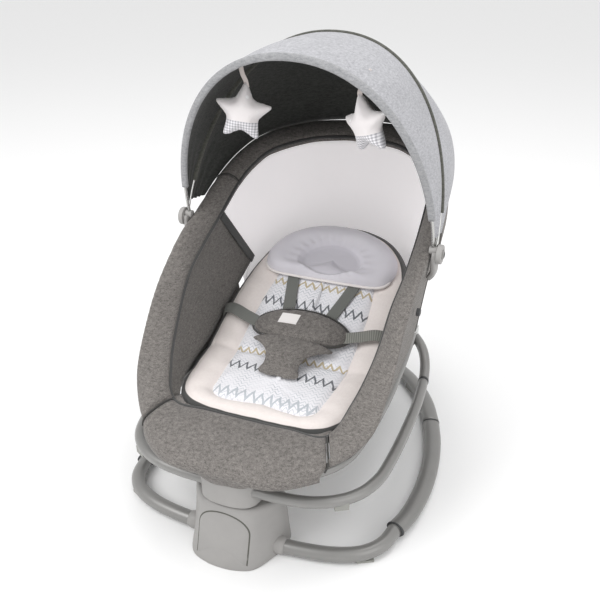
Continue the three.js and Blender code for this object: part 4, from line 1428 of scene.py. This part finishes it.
CROTCH_HALF = [
    (0, -124), (30, -123), (41, -116), (38, -96), (46, -72), (66, -52), (84, -38), (60, -30), (0, -28),
]
half = open_line([(u, v, 0) for u, v in CROTCH_HALF], 61)
crotch_outline = np.vstack([half, (half * MIRROR)[-2:0:-1]])[:, :2]
crotch = cushion(
    "crotch_cushion", crotch_outline, [(26, 0.5), (8, 0.5), (0, 2.5), (0, 4), (2, 6.5), (9, 8.5), (26, 9)],
    TUB_GREY, -95, -45,
)
stuff(crotch, 0.003, 0.004)
put_points(crotch, on_harness(drooped(points_of(crotch))))
settle(crotch, "swing", "grey_melange", "crotch_piece")

rim = on_harness(drooped(np.column_stack([belly_outline * 1.006, np.full(120, 5.5)]) * MM))
settle(
    sweep("belly_seam", rim, oval(0.0022, 0.0022, 10), SEAM_THREAD, around=True), "swing", "grey_melange",
)
inner = on_harness(drooped(np.column_stack([belly_outline * 0.9, np.full(120, 15.2)]) * MM))
settle(stitched("belly_stitches", np.vstack([inner, inner[:1]]), SEAM_THREAD), "swing", "grey_melange")

PATCH_EDGE = ((-13, -1), (-13, 0.6), (13, 0.6), (13, -1))
patch_rows = [[(u - 22, v + 4, 18.6 + k) for u in np.linspace(-19, 19, 12)] for v, k in PATCH_EDGE]
patch_flat = np.array(patch_rows, float).reshape(-1, 3) * MM
patch_rows = on_harness(drooped(patch_flat)).reshape(4, 12, 3)
settle(crisp(skin("blank_patch", patch_rows, PATCH, across=False)), "swing", "grey_melange")
print("harness cushions made")

# %% [markdown]
# ## The canopy
# Two wire bows stand on the hubs and hold one sheet between them, and a second sheet runs from the
# middle bow back to the head roll. Each is one continuous curved skin with the light cloth outside and
# its inner face painted dark grey as shade. The folds are shared out by how far round the pivot each point
# lies.

# %% Bows and canopy edges
PIVOT = np.array([238, 9, 461]) * MM
SIDE_SHAPE = 2.15


def bow_point(half, rise, lean, angle):
    c, sn = math.cos(angle), max(math.sin(angle), 0)
    x = math.copysign(abs(c) ** (2 / SIDE_SHAPE), c) * half * MM
    h = sn ** (2 / SIDE_SHAPE) * rise * MM
    tilt = math.radians(lean)
    return np.array([x, PIVOT[1] + h * math.sin(tilt), PIVOT[2] + h * math.cos(tilt)])


FRONT_BOW, MIDDLE_BOW = (238, 318, -11.8), (243, 352, 25.3)
whole = np.linspace(0.01, math.pi - 0.01, 160)
for name, bow in (("front_bow", FRONT_BOW), ("middle_bow", MIDDLE_BOW)):
    path = even(np.array([bow_point(*bow, a) for a in whole]), 160)
    settle(
        sweep(name + "_wire", path, oval(0.003, 0.003, 16), STEEL, up=(0, 1, 0.01)), name, "bright_steel",
        name,
    )
    sleeve_path = path[10:-10]
    cloth, wide = (HEM_GREY, 0.0062) if name == "front_bow" else (BAND, 0.0054)
    settle(
        sweep(name + "_sleeve", sleeve_path, soft_box(wide, 0.0046, 20, 2.6), cloth, up=(0, 1, 0.01)), name,
        "canopy_cloth",
    )


def rear_point(angle):
    turn = abs(angle - math.pi / 2) / (math.pi / 2)
    t = LAST - (LAST - 7.3) * turn
    t = -t if angle > math.pi / 2 else t
    s, c, h, shifted = frame_at(t)
    return shifted(c, 2, 8.5 - 9 * turn)


print("bows made")

# %% Canopy sheets
CANOPY_HEART = PIVOT * [0, 1, 1] - [0, 0, 0.040]


def canopy_sheet(name, edge_a, edge_b, bulge, shares, finishes, ripple):
    """A sheet between two edges. shares place its rows and finishes give each strip's outer cloth."""
    grid = []
    for angle in np.linspace(0.06, math.pi - 0.06, 150):
        a, b = edge_a(angle), edge_b(angle)
        k = np.array(shares)[:, None]
        line = a + (b - a) * k
        away = unit(line - CANOPY_HEART)
        swell = bulge * np.sin(math.pi * k) * math.sin(angle)
        near = math.exp(-math.sin(angle) / 0.22)
        swell = swell + ripple * near * np.sin(k * 26) * np.sin(math.pi * k)
        swell = swell + ripple * 0.35 * np.sin(7 * angle + 5 * k) * np.sin(math.pi * k)
        line = line + away * (swell + 0.002)
        grid.append(np.vstack([line, (line - away * 0.0016)[::-1]]))
    made = skin(name, grid, CANOPY_GREY)
    # The inner face gets dark heather: painted shade under the canopy.
    made.data.materials.append(CANOPY_INSIDE_SHADE)
    for cloth in finishes.values():
        made.data.materials.append(cloth)
    count = len(shares)
    index = [1] * (2 * count)
    for j in range(count - 1):
        index[j] = 0
        for slot, strip in enumerate(finishes):
            if j in strip:
                index[j] = 2 + slot
    faces = len(made.data.polygons)
    pattern = np.resize(np.array(index), faces)
    made.data.polygons.foreach_set("material_index", pattern.astype(np.int32))
    outer = np.array(grid)[:, :count]
    cross = np.cross(outer[1:, :-1] - outer[:-1, :-1], outer[:-1, 1:] - outer[:-1, :-1])
    area = float(np.linalg.norm(cross, axis=2).sum())
    arc = float(np.linalg.norm(np.diff(outer, axis=0), axis=2).sum(0).max())
    deep = float(np.linalg.norm(np.diff(outer, axis=1), axis=2).sum(1).max())
    print(name, "arc", round(arc, 3), "depth", round(deep, 3), "area", round(area, 4))
    weights = 1 - np.tile(np.concatenate([shares, shares[::-1]]), len(grid))
    return made, weights, (round(arc, 2), round(deep, 2)), round(area, 3)


front_shares = [0, 0.02, 0.06] + list(np.linspace(0.1, 0.96, 20)) + [0.98, 1]
front_sheet, front_weights, front_flat, front_area = canopy_sheet(
    "canopy_front", lambda a: bow_point(*FRONT_BOW, a), lambda a: bow_point(*MIDDLE_BOW, a),
    0.006, front_shares, {(0, 1): HEM_GREY}, 0.0016,
)
rear_shares = [0, 0.02] + list(np.linspace(0.05, 0.30, 8)) + [0.31, 0.325, 0.34]
rear_shares += list(np.linspace(0.37, 1, 18))
rear_sheet, rear_weights, rear_flat, rear_area = canopy_sheet(
    "canopy_rear", lambda a: bow_point(*MIDDLE_BOW, a), rear_point,
    0.026, rear_shares, {}, 0.0022,
)


def hold(sheet, node_name):
    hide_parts(node_name)
    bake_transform(sheet)


hold(front_sheet, "canopy_front_panel")
hold(rear_sheet, "canopy_rear_panel")
print("canopy sheets made")

# %% [markdown]
# ## Hubs, clamps and knob
# The bows turn in round hubs, each on a clamp that grips the rim. A screw cover sits in every hub.


# %% Hubs
def turned(name, start, axis, profile, material, count=40):
    """A round part: rings of radius at distances along an axis, in millimetres."""
    path = [np.array(start, float) * MM + np.array(axis, float) * along * MM for along, _ in profile]
    axis = np.array(axis, float)
    side = unit(np.cross(axis, (0.0, 0.31, 0.95)))
    rise = np.cross(side, axis)
    ring = oval(1, 1, count)
    rows = [p + (ring[:, :1] * side + ring[:, 1:] * rise) * r * MM for p, (_, r) in zip(path, profile)]
    return crisp(skin(name, rows, material), 40)


for side, s in SIDES:
    hub_at = (s * 246.5, 9, 455)
    profile = [
        (0, 15.5), (0.3, 17), (7, 17), (8.6, 16.4), (9, 15), (9, 9.2), (8, 9), (8, 7.6), (11, 7.4),
        (11.6, 6.6), (11.6, 1),
    ]
    settle(
        turned("hub_" + side, hub_at, (s, 0, 0), profile, CLAMP), "swing", "shell_plastic",
        "canopy_hub_" + side,
    )
    settle(
        turned(
            "hub_screw_" + side, (s * 257.6, 9, 455), (s, 0, 0), [(0, 5), (0.9, 5), (1.1, 4.2), (1.1, 1)],
            DARK,
        ),
        "swing", "dark_plastic",
    )
    settle(
        turned(
            "bow_end_" + side, (s * 236, 9, 461), (s, 0, 0), [(-4, 6), (-3.6, 7), (9, 7), (10, 6), (10, 1)],
            CLAMP,
        ),
        "swing", "shell_plastic",
    )
    clamp_path = open_line(
        mm([(s * 243, 9, 460), (s * 242, 10, 440), (s * 241, 12, 418), (s * 234, 12, 408)]), 24,
    )
    clamp_size = [0.9, 0.97] + [1.0] * 20 + [0.96, 0.86]
    settle(sweep(
        "clamp_" + side, clamp_path, soft_box(0.013, 0.0052, 28, 4), CLAMP, up=(1, 0, 0), size=clamp_size,
    ),
           "swing", "shell_plastic", "canopy_clamp_" + side)
settle(
    turned("adjuster_knob", (236, -70, 380), (1, 0, 0), [(0, 7), (4, 7), (6, 6), (6, 1)], DARK, 24),
    "swing", "dark_plastic",
)
print("hubs and clamps made")

# %% [markdown]
# ## The star toys
# A star is two cut stars sewn together and filled, so its points are round and its seams dip. Each is
# built flat, inflated, given its pattern, then turned and hung on its ribbon.


# %% Stars
def star_outline(radius, notch, count=200):
    turn = np.linspace(0, 2 * math.pi, 10, endpoint=False) + math.pi / 2
    reach = np.where(np.arange(10) % 2 == 0, radius, radius * notch)
    corners = np.stack([reach * np.cos(turn), reach * np.sin(turn)], 1)
    dense = []
    for a, b in zip(corners, np.roll(corners, -1, 0)):
        dense += [a + (b - a) * k for k in np.linspace(0, 1, count // 10, endpoint=False)]
    line = np.array(dense)
    for _ in range(14):
        line = (np.roll(line, 1, 0) + 2 * line + np.roll(line, -1, 0)) / 4
    return line


def turned_by(co, yaw, roll, pitch=0):
    ay, ar, ap = (math.radians(k) for k in (yaw, roll, pitch))
    rz = np.array([[math.cos(ay), -math.sin(ay), 0], [math.sin(ay), math.cos(ay), 0], [0, 0, 1]])
    ry = np.array([[math.cos(ar), 0, math.sin(ar)], [0, 1, 0], [-math.sin(ar), 0, math.cos(ar)]])
    rx = np.array([[1, 0, 0], [0, math.cos(ap), -math.sin(ap)], [0, math.sin(ap), math.cos(ap)]])
    return co @ (rz @ ry @ rx).T


STAR_PROFILE = [
    (0.97, -15), (0.7, -14), (0.4, -11.5), (0.2, -8.5), (0.06, -4.5), (0, 0), (0.06, 4.5), (0.2, 8.5),
    (0.4, 11.5), (0.7, 14), (0.97, 15),
]
TOY_LEFT, TOY_RIGHT = dict(yaw=18, roll=8, pitch=-6), dict(yaw=-30, roll=-14, pitch=8)
for (side, s), lean in zip(SIDES, (TOY_LEFT, TOY_RIGHT)):
    line = star_outline(58, 0.58)
    rows = []
    for k, y in STAR_PROFILE:
        rows.append(np.column_stack([line[:, 0] * (1 - k), np.full(len(line), y), line[:, 1] * (1 - k)]) * MM)
    star = skin("star_" + side, rows, PLUSH)
    stuff(star, 0.006, 0.0045)
    co = points_of(star)
    write_uv(star, co[:, [0, 2]])
    middle = mm((s * 113, 9, 745 - 33 - 49))
    put_points(star, turned_by(co, **lean) + middle)
    settle(star, "toy_" + side, "toy_plush", "star_toy_" + side)
    tip = turned_by(mm([(0, 0, 49)]), **lean)[0] + middle
    top = mm((s * 113, 9, 745))
    ribbon = open_line(
        [
            tip + [0.002, 0, -0.006], tip + [0, 0, 0.004], (tip + top) / 2 + [s * 0.0015, 0, 0], top,
            top + [0, 0, 0.006],
        ],
        24,
    )
    settle(
        sweep("ribbon_" + side, ribbon, soft_box(0.0045, 0.0008, 12), RIBBON, up=(0, 1, 0)), "toy_" + side,
        "toy_plush",
    )
print("stars made")
